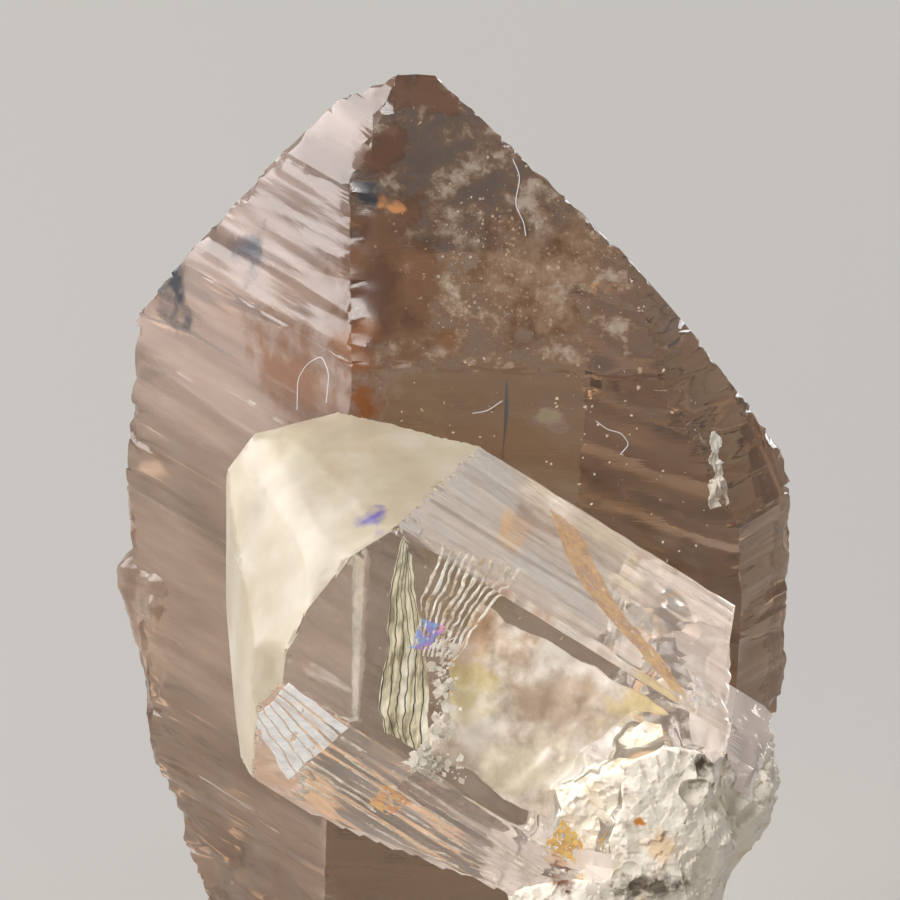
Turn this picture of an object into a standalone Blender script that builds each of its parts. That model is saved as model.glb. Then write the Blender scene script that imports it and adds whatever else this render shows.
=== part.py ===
"""Mineral specimen: a topaz crystal grown across the front of a smoky quartz crystal.

Three pieces grown together: the standing quartz, the topaz prism lying on its front face and a lump
of white feldspar at the topaz's root. Millimetres are used while the shapes are made and turned into
metres at the end. The quartz axis is the Z axis and the specimen rests on the broken foot at Z = 0.
"""
import math

import bmesh
import bpy
from mathutils import Vector, noise

# Driving dimensions, in millimetres and degrees
FOOT_TO_CENTRE = 20.4        # height of the point that the quartz face distances are measured from
GAP = 0.3                    # air left between pieces that touch
BLOCK = 60.0                 # half the side of the block that the crystals are cut from
RHOMB_TILT = 38.2            # slope of a quartz point face, fixed by the mineral

# Quartz faces: name, heading (0 = right, -90 = front, 90 = back), slope, distance from the centre
QUARTZ_FACES = [
    ("prism_front", -87, 0, 7.9),
    ("prism_left", -147, 0, 7.8),
    ("prism_right", -27, 0, 12.4),
    ("prism_back", 93, 0, 7.9),
    ("prism_back_left", 153, 0, 12.4),
    ("prism_back_right", 33, 0, 7.8),
    ("point_front", -87, RHOMB_TILT, 9.8),
    ("point_left", -147, RHOMB_TILT, 11.4),
    ("steep_left", -147, 19.6, 9.3),
    ("point_back_left", 153, RHOMB_TILT, 11.35),
    ("point_back_right", 33, RHOMB_TILT, 7.2),
    ("point_right", -27, RHOMB_TILT, 11.15),
    ("mid_right", -27, 26.5, 11.05),
    ("steep_right", -27, 4.6, 12.1),
    ("point_back", 93, RHOMB_TILT, 7.9),
    ("left_edge", 180, -8.7, 12.15),
    ("flank_left", -175, -23.5, 14.5),
    ("flank_right", -10, -14, 13.6),
    ("foot", 0, -90, FOOT_TO_CENTRE),
]
# How deep the relief of each quartz face goes; other faces take PLAIN_RELIEF
QUARTZ_RELIEF = {
    "prism_left": 0.16, "steep_left": 0.12, "prism_right": 0.14, "steep_right": 0.14, "mid_right": 0.12,
    "prism_back_left": 0.2, "prism_back": 0.14, "prism_back_right": 0.16,
    "flank_left": 0.75, "flank_right": 0.6,
}
PLAIN_RELIEF = 0.05
LEDGE_SPACING = 0.85         # mean height of one growth step on the quartz
LEDGE_DEPTH = 0.14           # how far one growth step stands back from the next
FOOT_BREAK = 9.0             # the lowest part of the quartz is broken: rough up to this height
COLUMN_SPACING = 1.7         # distance between the upright lines that the quartz relief is made on
QUARTZ_HEIGHT = 34.6
QUARTZ_HALF_WIDTH = 12.5
QUARTZ_HALF_DEPTH = 8.2

# Side growth on the left flank of the quartz
BUMP_CENTRE = (-9.1, 3.3, 12.6)
BUMP_RADII = (2.3, 3.0, 2.5)
BUMP_LAYERS = [(3.1, 1.7), (1.3, 0.5)]     # size and height of each layer of bumps

# Topaz prism: direction of its length (towards the free end) and of its front side
TOPAZ_AXIS = (-168.2, 32.6)
TOPAZ_FRONT = (-72.3, 9.2)
TOPAZ_CENTRE = (1.6, -12.45, 15.4)
# Side faces: name, angle round the axis from the front side (positive = upwards), distance
TOPAZ_SIDES = [
    ("upper", 50, 5.55),
    ("front", -6, 4.0),
    ("lower", -53, 4.65),
    ("underside", -110, 6.4),
    ("top", 112, 7.1),
    ("back", 176, 6.1),
]
# Corners of the free end, as (down, out, along) from the topaz centre
TIP_CORNERS = {
    "upper_edge": (-7.5, -0.35, 5.45),
    "front_top": (-3.6, 4.4, 8.15),
    "front_high": (-1.85, 4.2, 9.0),
    "front_mid": (0.4, 3.95, 9.2),
    "front_low": (2.0, 3.8, 9.0),
    "front_end": (3.1, 3.7, 8.4),
    "crown_right": (-6.65, -3.15, 7.8),
    "crown": (-4.95, -3.85, 10.35),
    "ridge_high": (-2.65, -2.6, 11.9),
    "ridge_mid": (1.2, 0.35, 9.7),
    "ridge_low": (3.9, 1.7, 8.5),
    "lower_edge": (6.45, -0.9, 5.85),
    "side_back": (1.7, -3.85, 9.05),
    "side_low": (4.6, -2.1, 7.8),
    "rim_high": (-2.1, -2.1, 12.4),
    "rim_mid": (2.1, -2.1, 9.6),
    "rim_top": (-3.85, -2.1, 12.2),
    "rim_right": (-5.25, -2.1, 10.75),
    "rim_low": (5.8, -2.1, 6.4),
    "rim_high_back": (-0.1, -5.95, 9.45),
    "rim_top_back": (-2.85, -5.95, 10.7),
    "rim_right_back": (-4.45, -5.95, 9.85),
    "rim_low_back": (3.85, -5.95, 6.4),
}
# Each face of the free end runs through three of those corners
TIP_FACES = [
    ("upper_edge", "front_top", "crown_right"),
    ("front_top", "front_high", "crown"),
    ("front_high", "front_mid", "ridge_high"),
    ("front_mid", "front_low", "ridge_mid"),
    ("front_low", "front_end", "ridge_low"),
    ("ridge_high", "ridge_low", "side_back"),
    ("ridge_low", "lower_edge", "side_low"),
    ("rim_high", "rim_mid", "rim_high_back"),
    ("rim_high", "rim_top", "rim_top_back"),
    ("rim_top", "rim_right", "rim_right_back"),
    ("rim_mid", "rim_low", "rim_low_back"),
]
# Broken root end of the prism, as directions (down, out, along) with distances
TOPAZ_ROOT = [
    ((-0.48, 0.30, -0.82), 8.3),
    ((0.19, 0.20, -0.96), 6.9),
    ((0.93, -0.26, -0.24), 5.6),
]
# Broken stub that carries on past the root on the right, a little lower than the main prism
STUB_SIDES = [
    ("upper", 50, 4.5),
    ("front", -6, 3.0),
    ("underside", -110, -3.0),
    ("top", 112, 4.4),
    ("back", 176, 4.0),
]
STUB_LENGTH = (5.5, 8.7)     # from the topaz centre towards the root: start and end
TOPAZ_RELIEF = 0.07
TOPAZ_GRID = 1.35            # spacing of the lines that the topaz relief is made on
TOPAZ_REACH = ((-12, 13), (-8, 8), (-7, 5))   # how far those lines run along, down and out
EDGE_WEAR = 0.45             # how much of the wear of the quartz edges the harder topaz edges have

BLOCKINESS = 0.85            # 1 makes lumps round, less makes them blocky

# Feldspar lump
MATRIX_CENTRE = (6.9, -9.8, 11.0)
MATRIX_RADII = (4.5, 6.2, 5.3)
MATRIX_BUMPS = [(4.0, 0.7), (1.9, 0.6), (0.85, 0.28)]   # size and height of each layer of bumps
MATRIX_CHIP = ((0.85, -0.175, -0.495), 5.9)   # broken away at the lower right: direction and distance
CHIP_GRID = 1.1              # spacing of the lines that the broken side's relief is made on
CHIP_LINES = 10              # how many of those lines there are to each side
CHIP_BUMPS = [(2.6, 0.8), (1.2, 0.4)]      # size and height of its bumps
KNOB_CENTRE = (10.5, -7.8, 9.9)
KNOB_RADII = (1.3, 1.6, 1.6)
KNOB_BUMPS = [(1.5, 0.5)]
PIT_CENTRES = [
    (9.3, -14.0, 12.6),
    (8.7, -14.2, 11.9),
    (6.2, -14.9, 10.2),
    (10.4, -12.4, 11.0),
    (4.3, -14.2, 7.2),
]
PIT_RADII = (0.75, 0.75, 0.52)
PIT_BUMPS = [(0.8, 0.3)]

# Each number picks another fixed pattern of the noise
SEEDS = {
    "ledges": 2, "foot": 31, "wear": 41, "bump": 5, "topaz": 11, "stub": 15, "topaz_wear": 61,
    "matrix": 21, "knob": 23, "pits": 40, "chip": 71,
}


def heading(turn, slope):
    """Unit vector from a heading round the Z axis and a slope above the horizon, in degrees."""
    turn, slope = math.radians(turn), math.radians(slope)
    return Vector((math.cos(slope) * math.cos(turn), math.cos(slope) * math.sin(turn), math.sin(slope)))


def rough(point, size, seed):
    """Smooth noise between about -1 and 1 with features of the given size."""
    return noise.noise(point / size + Vector((seed * 7.3, seed * 3.1, seed * 11.7)))


def cut_block(planes):
    """Closed convex solid left of a block after cutting along each (normal, distance) plane."""
    block = bmesh.new()
    bmesh.ops.create_cube(block, size=2 * BLOCK)
    for normal, distance in planes:
        everything = block.verts[:] + block.edges[:] + block.faces[:]
        cut = bmesh.ops.bisect_plane(block, geom=everything, dist=1e-5, plane_co=normal * distance,
                                     plane_no=normal, clear_outer=True)
        rim = [item for item in cut["geom_cut"] if isinstance(item, bmesh.types.BMEdge)]
        if rim:
            bmesh.ops.contextual_create(block, geom=rim)
    bmesh.ops.remove_doubles(block, verts=block.verts, dist=1e-4)
    bmesh.ops.recalc_face_normals(block, faces=block.faces)
    return block


def slice_lines(mesh, normal, distances):
    """Score the surface along parallel planes so that relief can be put on it."""
    for distance in distances:
        everything = mesh.verts[:] + mesh.edges[:] + mesh.faces[:]
        bmesh.ops.bisect_plane(mesh, geom=everything, dist=1e-3, plane_co=normal * distance, plane_no=normal)


def steps(low, high, spacing, seed):
    """Uneven but fixed distances from low to high."""
    found = []
    here = low + spacing * 0.5
    while here < high - spacing * 0.3:
        found.append(here)
        here += spacing * (1.0 + 0.45 * rough(Vector((here, 0, 0)), 1.7, seed))
    return found


def faces_of(point, planes, tolerance=0.02):
    """Indexes of the planes that a point lies on."""
    return [i for i, (normal, distance) in enumerate(planes) if abs(normal.dot(point) - distance) < tolerance]


def quartz_planes(extra=0.0):
    """Face planes of the quartz, all moved outwards by the extra distance; Z = 0 is the foot."""
    centre = Vector((0, 0, FOOT_TO_CENTRE))
    planes = []
    for name, turn, slope, distance in QUARTZ_FACES:
        normal = heading(turn, slope)
        planes.append((normal, distance + normal.dot(centre) + extra))
    return planes


def ledge_depth(point, face):
    """Inward step of a striated face: long bands of uneven height that each stand back a little."""
    band = rough(Vector((0.06 * point.x, 0.06 * point.y, point.z)), 1.1, face + SEEDS["ledges"])
    if band > 0.12:
        return LEDGE_DEPTH
    return 0.0 if band < -0.05 else 0.45 * LEDGE_DEPTH


def worn(point, on, seed):
    """Extra depth of chips along an edge; deeper where more faces meet."""
    if len(on) < 2:
        return 0.0
    chip = max(0.0, rough(point, 0.9, seed)) + max(0.0, rough(point, 2.7, seed + 5))
    return 0.22 * chip * (len(on) - 1)


def quartz_depth(point, name, face):
    """Inward relief of one quartz face at a point."""
    relief = QUARTZ_RELIEF.get(name, PLAIN_RELIEF)
    depth = relief * (0.5 + 0.5 * rough(point, 2.2, face))
    if relief > 0.1 and name.startswith(("prism", "steep", "mid")):
        depth += ledge_depth(point, face)
    low = max(0.0, 1.0 - point.z / FOOT_BREAK)
    depth += low * (0.35 + 0.45 * rough(point, 1.6, SEEDS["foot"]))
    return max(0.0, depth)


def make_quartz():
    """Standing quartz crystal with growth steps, worn edges and a broken foot."""
    planes = quartz_planes()
    crystal = cut_block(planes)
    slice_lines(crystal, Vector((0, 0, 1)), steps(0.0, QUARTZ_HEIGHT, LEDGE_SPACING, 1))
    for turn, half in ((-87, QUARTZ_HALF_DEPTH), (3, QUARTZ_HALF_WIDTH)):
        slice_lines(crystal, heading(turn, 0), steps(-half, half, COLUMN_SPACING, turn))
    names = [row[0] for row in QUARTZ_FACES]
    foot = names.index("foot")
    moves = []
    for vertex in crystal.verts:
        on = faces_of(vertex.co, planes)
        inward = Vector((0, 0, 0))
        for face in on:
            if face != foot:
                inward -= planes[face][0] * quartz_depth(vertex.co, names[face], face) / len(on)
        toward_axis = Vector((-vertex.co.x, -vertex.co.y, -0.6 * (vertex.co.z - FOOT_TO_CENTRE)))
        if toward_axis.length > 0:
            inward += toward_axis.normalized() * worn(vertex.co, on, SEEDS["wear"])
        if foot in on:
            inward.z = 0.0
        moves.append((vertex, inward))
    for vertex, inward in moves:
        vertex.co += inward
    return crystal


def make_lump(centre, radii, layers, seed, detail, extra=0.0):
    """Round lump with bumps; layers gives (size of bump, height of bump) from coarse to fine."""
    lump = bmesh.new()
    bmesh.ops.create_icosphere(lump, subdivisions=detail, radius=1.0)
    centre = Vector(centre)
    for vertex in lump.verts:
        outward = vertex.co.normalized()
        point = Vector([math.copysign(abs(d) ** BLOCKINESS, d) * r for d, r in zip(outward, radii)])
        swell = sum(height * rough(point, size, seed + k) for k, (size, height) in enumerate(layers))
        vertex.co = centre + point + outward * (swell + extra)
    return lump


def topaz_frame():
    """Centre of the topaz with its down, out and along directions."""
    along = heading(*TOPAZ_AXIS)
    out = heading(*TOPAZ_FRONT)
    out = (out - out.dot(along) * along).normalized()
    return Vector(TOPAZ_CENTRE), out.cross(along), out, along


def to_world(corner):
    """Point given as (down, out, along) from the topaz centre."""
    centre, down, out, along = topaz_frame()
    return centre + corner[0] * down + corner[1] * out + corner[2] * along


def side_planes(sides, extra=0.0):
    """Planes of prism sides that run along the topaz."""
    centre, down, out, along = topaz_frame()
    planes = []
    for name, turn, distance in sides:
        turn = math.radians(turn)
        normal = math.cos(turn) * out - math.sin(turn) * down
        planes.append((normal, distance + normal.dot(centre) + extra))
    return planes


def topaz_planes(extra=0.0):
    """All the planes of the topaz, moved outwards by the extra distance."""
    centre, down, out, along = topaz_frame()
    planes = side_planes(TOPAZ_SIDES, extra)
    for names in TIP_FACES:
        a, b, c = (to_world(TIP_CORNERS[name]) for name in names)
        normal = (b - a).cross(c - a).normalized()
        if normal.dot(along) < 0:
            normal = -normal
        planes.append((normal, normal.dot(a) + extra))
    for (right, front, tip), distance in TOPAZ_ROOT:
        normal = (right * down + front * out + tip * along).normalized()
        planes.append((normal, distance + normal.dot(centre) + extra))
    return planes


def stub_planes(extra=0.0):
    """Planes of the broken stub at the root of the topaz."""
    centre, down, out, along = topaz_frame()
    start, end = STUB_LENGTH
    planes = side_planes(STUB_SIDES, extra)
    planes.append((along, along.dot(centre) - start + extra))
    planes.append((-along, -along.dot(centre) + end + extra))
    return planes


def make_prism(planes, seed):
    """Topaz solid with faint lengthwise ribs and worn edges."""
    centre, down, out, along = topaz_frame()
    crystal = cut_block(planes)
    for k, (axis, (low, high)) in enumerate(zip((along, down, out), TOPAZ_REACH)):
        middle = centre.dot(axis)
        slice_lines(crystal, axis, [middle + d for d in steps(low, high, TOPAZ_GRID, seed + k)])
    moves = []
    for vertex in crystal.verts:
        on = faces_of(vertex.co, planes)
        offset = vertex.co - centre
        ribs = Vector((offset.dot(down), offset.dot(out), 0.15 * offset.dot(along)))
        depth = TOPAZ_RELIEF * (0.5 + 0.5 * rough(ribs, 0.9, seed))
        inward = Vector((0, 0, 0))
        for face in on:
            inward -= planes[face][0] * depth / len(on)
        inward -= offset.normalized() * EDGE_WEAR * worn(vertex.co, on, SEEDS["topaz_wear"])
        moves.append((vertex, inward))
    for vertex, inward in moves:
        vertex.co += inward
    return crystal


def make_chip():
    """Block with one rough side, to break a corner off the feldspar with."""
    side, distance = Vector(MATRIX_CHIP[0]).normalized(), MATRIX_CHIP[1]
    chip = cut_block([(-side, -distance)])
    offsets = [CHIP_GRID * k for k in range(-CHIP_LINES, CHIP_LINES + 1)]
    slice_lines(chip, Vector((0, 0, 1)), [MATRIX_CENTRE[2] + offset for offset in offsets])
    slice_lines(chip, Vector((0, 1, 0)), [MATRIX_CENTRE[1] + offset for offset in offsets])
    for vertex in chip.verts:
        if abs(vertex.co.dot(side) - distance) < 0.01:
            swell = sum(height * rough(vertex.co, size, SEEDS["chip"]) for size, height in CHIP_BUMPS)
            vertex.co += side * swell
    return chip


def to_object(mesh, name):
    """Turn a millimetre mesh into a scene object in metres."""
    bmesh.ops.triangulate(mesh, faces=mesh.faces)
    bmesh.ops.recalc_face_normals(mesh, faces=mesh.faces)
    for vertex in mesh.verts:
        vertex.co *= 0.001
    data = bpy.data.meshes.new(name)
    mesh.to_mesh(data)
    mesh.free()
    made = bpy.data.objects.new(name, data)
    bpy.context.scene.collection.objects.link(made)
    return made


def combine(target, other, operation):
    """Apply one exact boolean and delete the object that it was made with."""
    other.hide_render = True
    other.display_type = "WIRE"
    modifier = target.modifiers.new("combine", "BOOLEAN")
    modifier.operation = operation
    modifier.solver = "EXACT"
    modifier.object = other
    graph = bpy.context.evaluated_depsgraph_get()
    result = bpy.data.meshes.new_from_object(target.evaluated_get(graph))
    target.modifiers.clear()
    target.data = result
    bpy.data.objects.remove(other)


def islands(mesh):
    """Sets of connected points, largest first."""
    unseen = set(mesh.verts)
    found = []
    while unseen:
        edge = [unseen.pop()]
        island = set(edge)
        while edge:
            for link in edge.pop().link_edges:
                for vertex in link.verts:
                    if vertex in unseen:
                        unseen.remove(vertex)
                        island.add(vertex)
                        edge.append(vertex)
        found.append(island)
    return sorted(found, key=len, reverse=True)


def tidy(made):
    """One body of triangles with normals outwards; crumbs that the cuts left loose are dropped."""
    mesh = bmesh.new()
    mesh.from_mesh(made.data)
    bmesh.ops.remove_doubles(mesh, verts=mesh.verts, dist=0.000002)
    for crumb in islands(mesh)[1:]:
        bmesh.ops.delete(mesh, geom=list(crumb), context="VERTS")
    bmesh.ops.triangulate(mesh, faces=mesh.faces)
    bmesh.ops.recalc_face_normals(mesh, faces=mesh.faces)
    mesh.to_mesh(made.data)
    mesh.free()


def make_matrix(name, extra=0.0):
    """Feldspar lump with its knob, swollen by the extra distance."""
    lump = to_object(make_lump(MATRIX_CENTRE, MATRIX_RADII, MATRIX_BUMPS, SEEDS["matrix"], 4, extra), name)
    knob = to_object(make_lump(KNOB_CENTRE, KNOB_RADII, KNOB_BUMPS, SEEDS["knob"], 3, extra), "knob")
    combine(lump, knob, "UNION")
    return lump


def give_material(made, name, colour, roughness):
    """Give a piece its own plain material."""
    material = bpy.data.materials.new(name)
    material.use_nodes = True
    shader = material.node_tree.nodes["Principled BSDF"]
    shader.inputs["Base Color"].default_value = (*colour, 1.0)
    shader.inputs["Roughness"].default_value = roughness
    shader.inputs["Metallic"].default_value = 0.0
    made.data.materials.clear()
    made.data.materials.append(material)


def build():
    for old in list(bpy.data.objects):
        bpy.data.objects.remove(old)

    quartz = to_object(make_quartz(), "smoky_quartz")
    bump = make_lump(BUMP_CENTRE, BUMP_RADII, BUMP_LAYERS, SEEDS["bump"], 3)
    combine(quartz, to_object(bump, "bump"), "UNION")

    topaz = to_object(make_prism(topaz_planes(), SEEDS["topaz"]), "topaz")
    combine(topaz, to_object(make_prism(stub_planes(), SEEDS["stub"]), "stub"), "UNION")
    combine(topaz, to_object(cut_block(quartz_planes(GAP)), "room_for_quartz"), "DIFFERENCE")

    matrix = make_matrix("feldspar_matrix")
    for k, centre in enumerate(PIT_CENTRES):
        pit = make_lump(centre, PIT_RADII, PIT_BUMPS, SEEDS["pits"] + k, 2)
        combine(matrix, to_object(pit, "pit"), "DIFFERENCE")
    combine(matrix, to_object(cut_block(quartz_planes(GAP)), "room_for_quartz"), "DIFFERENCE")
    combine(matrix, to_object(make_chip(), "chip"), "DIFFERENCE")
    combine(topaz, make_matrix("room_for_matrix", GAP), "DIFFERENCE")

    for made in (quartz, topaz, matrix):
        tidy(made)
    give_material(quartz, "smoky_quartz", (0.20, 0.13, 0.08), 0.12)
    give_material(topaz, "topaz", (0.78, 0.70, 0.56), 0.08)
    give_material(matrix, "feldspar_matrix", (0.80, 0.75, 0.65), 0.6)


build()
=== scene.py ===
import math

import bmesh
import bpy
import numpy as np
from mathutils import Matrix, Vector, noise


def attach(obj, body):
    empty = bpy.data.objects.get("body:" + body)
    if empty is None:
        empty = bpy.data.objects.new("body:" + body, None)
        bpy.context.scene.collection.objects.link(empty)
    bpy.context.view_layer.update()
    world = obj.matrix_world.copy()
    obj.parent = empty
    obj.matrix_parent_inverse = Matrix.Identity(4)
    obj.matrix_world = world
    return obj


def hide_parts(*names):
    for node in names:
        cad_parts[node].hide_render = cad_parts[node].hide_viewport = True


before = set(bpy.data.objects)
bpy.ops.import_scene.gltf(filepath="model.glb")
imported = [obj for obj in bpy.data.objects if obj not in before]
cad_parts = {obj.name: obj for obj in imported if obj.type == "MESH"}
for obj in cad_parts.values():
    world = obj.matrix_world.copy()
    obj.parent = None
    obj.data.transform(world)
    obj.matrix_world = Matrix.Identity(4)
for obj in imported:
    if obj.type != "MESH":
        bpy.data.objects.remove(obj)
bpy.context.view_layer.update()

MM = 0.001
SEED_STEP = Vector((7.3, 3.1, 11.7))   # seeds shift the noise by this, so that each gives another pattern
FOOT_TO_CENTRE = 20.4        # height of the point that the quartz face distances are measured from
CONTACT = 0.05               # air left between the pieces where they grew together
BLOCK = 60.0                 # half the side of the block that the crystals are cut from
ON_PLANE = 0.02              # a point this near to a plane lies on it
RHOMB_TILT = 38.2            # slope of a quartz point face, fixed by the mineral

# Quartz faces: name, heading (0 = right, -90 = front, 90 = back), slope, distance from the centre
QUARTZ_FACES = [
    ("prism_front", -87, 0, 7.9),
    ("prism_left", -147, 0, 7.8),
    ("prism_right", -27, 0, 12.4),
    ("prism_back", 93, 0, 7.9),
    ("prism_back_left", 153, 0, 12.4),
    ("prism_back_right", 33, 0, 7.8),
    ("point_front", -87, RHOMB_TILT, 9.8),
    ("point_left", -147, RHOMB_TILT, 11.4),
    ("steep_left", -147, 19.6, 9.3),
    ("point_back_left", 153, RHOMB_TILT, 11.35),
    ("point_back_right", 33, RHOMB_TILT, 7.2),
    ("point_right", -27, RHOMB_TILT, 11.15),
    ("mid_right", -27, 26.5, 11.05),
    ("steep_right", -27, 4.6, 12.1),
    ("point_back", 93, RHOMB_TILT, 7.9),
    ("left_edge", 180, -8.7, 12.15),
    ("flank_left", -175, -23.5, 14.5),
    ("flank_right", -10, -14, 13.6),
    ("foot", 0, -90, FOOT_TO_CENTRE),
]
# How deep the broad relief of a quartz face goes; the faces not named here take PLAIN_RELIEF
QUARTZ_RELIEF = {
    "prism_left": 0.16, "steep_left": 0.12, "prism_right": 0.14, "steep_right": 0.14, "mid_right": 0.12,
    "prism_back_left": 0.2, "prism_back": 0.14, "prism_back_right": 0.16,
    "flank_left": 0.75, "flank_right": 0.6,
}
PLAIN_RELIEF = 0.05
# Share of the growth steps that shows on a face; the others have them in full
LEDGE_SHARE = {
    "steep_left": 0.28, "steep_right": 0.4, "mid_right": 0.3, "prism_right": 0.4, "prism_left": 0.7,
}
LEDGE_DEPTH = 0.14           # how far one growth step stands back from the next
LEDGE_SIZE = 1.1             # usual height of a growth step
LEDGE_EDGE = 0.17            # the smaller, the sharper the edges of the growth steps
SWELL_SIZE = 2.2             # size of the broad relief
LEVEL = 0.06                 # how much the growth steps wander sideways: 0 keeps them level
LINE_LEVEL = 0.04            # the same for the growth lines
FOOT_BREAK = 9.0             # the lowest part of the quartz is broken: rough up to this height
# Layers of noise, as (size, height, seed)
LINE_LAYERS = [(0.21, 1.0, 9), (0.62, 0.8, 13)]
BREAK_LAYERS = [(1.6, 0.45, 31), (0.6, 0.2, 33)]
BREAK_DEPTH = 0.35
QUARTZ_CHIPS = [(0.9, 0.13, 41), (2.7, 0.13, 46), (0.3, 0.13, 47)]
QUARTZ_WEAR = 0.02           # how far an edge is worn back between its chips
# Depth of the fine growth lines on each quartz face
GROWTH_LINES = {
    "prism_left": 0.045, "steep_left": 0.03, "point_left": 0.008, "left_edge": 0.05, "prism_right": 0.03,
    "steep_right": 0.03, "mid_right": 0.012, "prism_back_left": 0.05, "prism_back": 0.04,
    "prism_back_right": 0.04, "prism_front": 0.006,
}
PLAIN_LINES = 0.005          # depth on the faces not named there
LINE_STEP = 0.13             # height between the mesh lines that the growth lines are made on
COLUMN_STEP = 0.75           # the same for the upright mesh lines
QUARTZ_HEIGHT = 34.7
QUARTZ_HALF_DEPTH = 8.2
QUARTZ_HALF_WIDTH = 12.5
FRONT_TURN = -87             # heading of the quartz's front side

# Side growth on the left flank of the quartz
BUMP_CENTRE = (-9.15, 5.1, 13.2)
BUMP_RADII = (2.3, 3.0, 2.5)
BUMP_LAYERS = [(3.1, 1.2), (1.3, 0.4), (0.45, 0.1)]
BUMP_TAIL = 2.1              # how much longer the bump is below its middle than above
BUMP_LEAN = 0.42             # how far the tail leans in towards the crystal, for each millimetre down
BUMP_STEPS = [(0.7, 0.12, 55), (0.25, 0.072, 57)]   # growth steps across the bump: size, height, seed
BUMP_LEVEL = 0.1
BUMP_DETAIL = 6
BUMP_SEED = 5

# Topaz prism: direction of its length (towards the free end) and of its front side
TOPAZ_AXIS = (-168.2, 32.6)
TOPAZ_FRONT = (-72.3, 9.2)
TOPAZ_CENTRE = (1.6, -12.45, 15.4)
# Side faces: name, angle round the axis from the front side (positive = upwards), distance
TOPAZ_SIDES = [
    ("upper", 50, 5.55),
    ("front", -6, 4.0),
    ("lower", -53, 4.65),
    ("underside", -110, 6.4),
    ("top", 112, 7.1),
    ("back", 176, 6.1),
]
# Depth of the lengthwise ribs on each topaz side
TOPAZ_RIBS = {"upper": 0.011, "front": 0.006, "lower": 0.04, "underside": 0.05, "top": 0.04, "back": 0.04}
# Corners of the free end, as (down, out, along) from the topaz centre
TIP_CORNERS = {
    "upper_edge": (-7.5, -0.35, 5.45),
    "front_top": (-3.6, 4.4, 8.15),
    "front_high": (-1.85, 4.2, 9.0),
    "front_mid": (0.4, 3.95, 9.2),
    "front_low": (2.0, 3.8, 9.0),
    "front_end": (3.1, 3.7, 8.4),
    "crown_right": (-6.65, -3.15, 7.8),
    "crown": (-4.95, -3.85, 10.35),
    "ridge_high": (-2.65, -2.6, 11.9),
    "ridge_mid": (1.2, 0.35, 9.7),
    "ridge_low": (3.9, 1.7, 8.5),
    "lower_edge": (6.45, -0.9, 5.85),
    "side_back": (1.7, -3.85, 9.05),
    "side_low": (4.6, -2.1, 7.8),
    "rim_high": (-2.1, -2.1, 12.4),
    "rim_mid": (2.1, -2.1, 9.6),
    "rim_top": (-3.85, -2.1, 12.2),
    "rim_right": (-5.25, -2.1, 10.75),
    "rim_low": (5.8, -2.1, 6.4),
    "rim_high_back": (-0.1, -5.95, 9.45),
    "rim_top_back": (-2.85, -5.95, 10.7),
    "rim_right_back": (-4.45, -5.95, 9.85),
    "rim_low_back": (3.85, -5.95, 6.4),
}
# Each face of the free end: its part of the cap, and three of those corners that it runs through
TIP_FACES = [
    ("cap", "upper_edge", "front_top", "crown_right"),
    ("cap", "front_top", "front_high", "crown"),
    ("cap", "front_high", "front_mid", "ridge_high"),
    ("cap", "front_mid", "front_low", "ridge_mid"),
    ("cap", "front_low", "front_end", "ridge_low"),
    ("cap_side", "ridge_high", "ridge_low", "side_back"),
    ("cap_side", "ridge_low", "lower_edge", "side_low"),
    ("cap_side", "rim_high", "rim_mid", "rim_high_back"),
    ("cap_side", "rim_high", "rim_top", "rim_top_back"),
    ("cap", "rim_top", "rim_right", "rim_right_back"),
    ("cap_side", "rim_mid", "rim_low", "rim_low_back"),
]
# Broken root end of the prism, as directions (down, out, along) with distances
TOPAZ_ROOT = [
    ((-0.48, 0.30, -0.82), 8.3),
    ((0.19, 0.20, -0.96), 6.9),
    ((0.93, -0.26, -0.24), 5.6),
]
# Broken stub that carries on past the root on the right, a little lower than the main prism
STUB_SIDES = [
    ("upper", 50, 4.5),
    ("front", -6, 3.0),
    ("underside", -110, -3.0),
    ("top", 112, 4.4),
    ("back", 176, 4.0),
]
STUB_LENGTH = (5.5, 8.7)     # from the topaz centre towards the root: start and end
# How far the mesh lines go, down, out and along from the topaz centre
TOPAZ_DOWN = (-7.7, 6.7)
TOPAZ_OUT = (-6.2, 4.7)
TOPAZ_ALONG = (-9.0, 12.5)
RIB_LAYERS = [(0.33, 1.0, 11), (0.9, 0.7, 14)]
RIB_STRETCH = 0.06           # how much the ribs wander across: 0 keeps them straight
ROOT_LAYERS = [(1.1, 0.25, 18), (0.4, 0.1, 19)]
ROOT_DEPTH = 0.3
CAP_RELIEF = 0.012
CAP_RELIEF_LAYERS = [(0.9, 1.0, 12)]
TOPAZ_CHIPS = [(0.8, 0.09, 61), (0.27, 0.08, 62)]
TOPAZ_WEAR = 0.01
RIB_STEP = 0.17              # distance between the mesh lines across the topaz
LENGTH_STEP = 0.6            # distance between the mesh lines along the topaz
CAP_STEP = 0.24              # the same on the free end
CAP_START = 5.0              # the free end begins here, measured along the topaz
CAP_ROUNDS = 70              # how often the points of the free end are evened out

BLOCKINESS = 0.85            # 1 makes lumps round, less makes them blocky
STEEPEST = 0.05              # keeps the carving steady where planes meet at a flat angle

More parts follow.
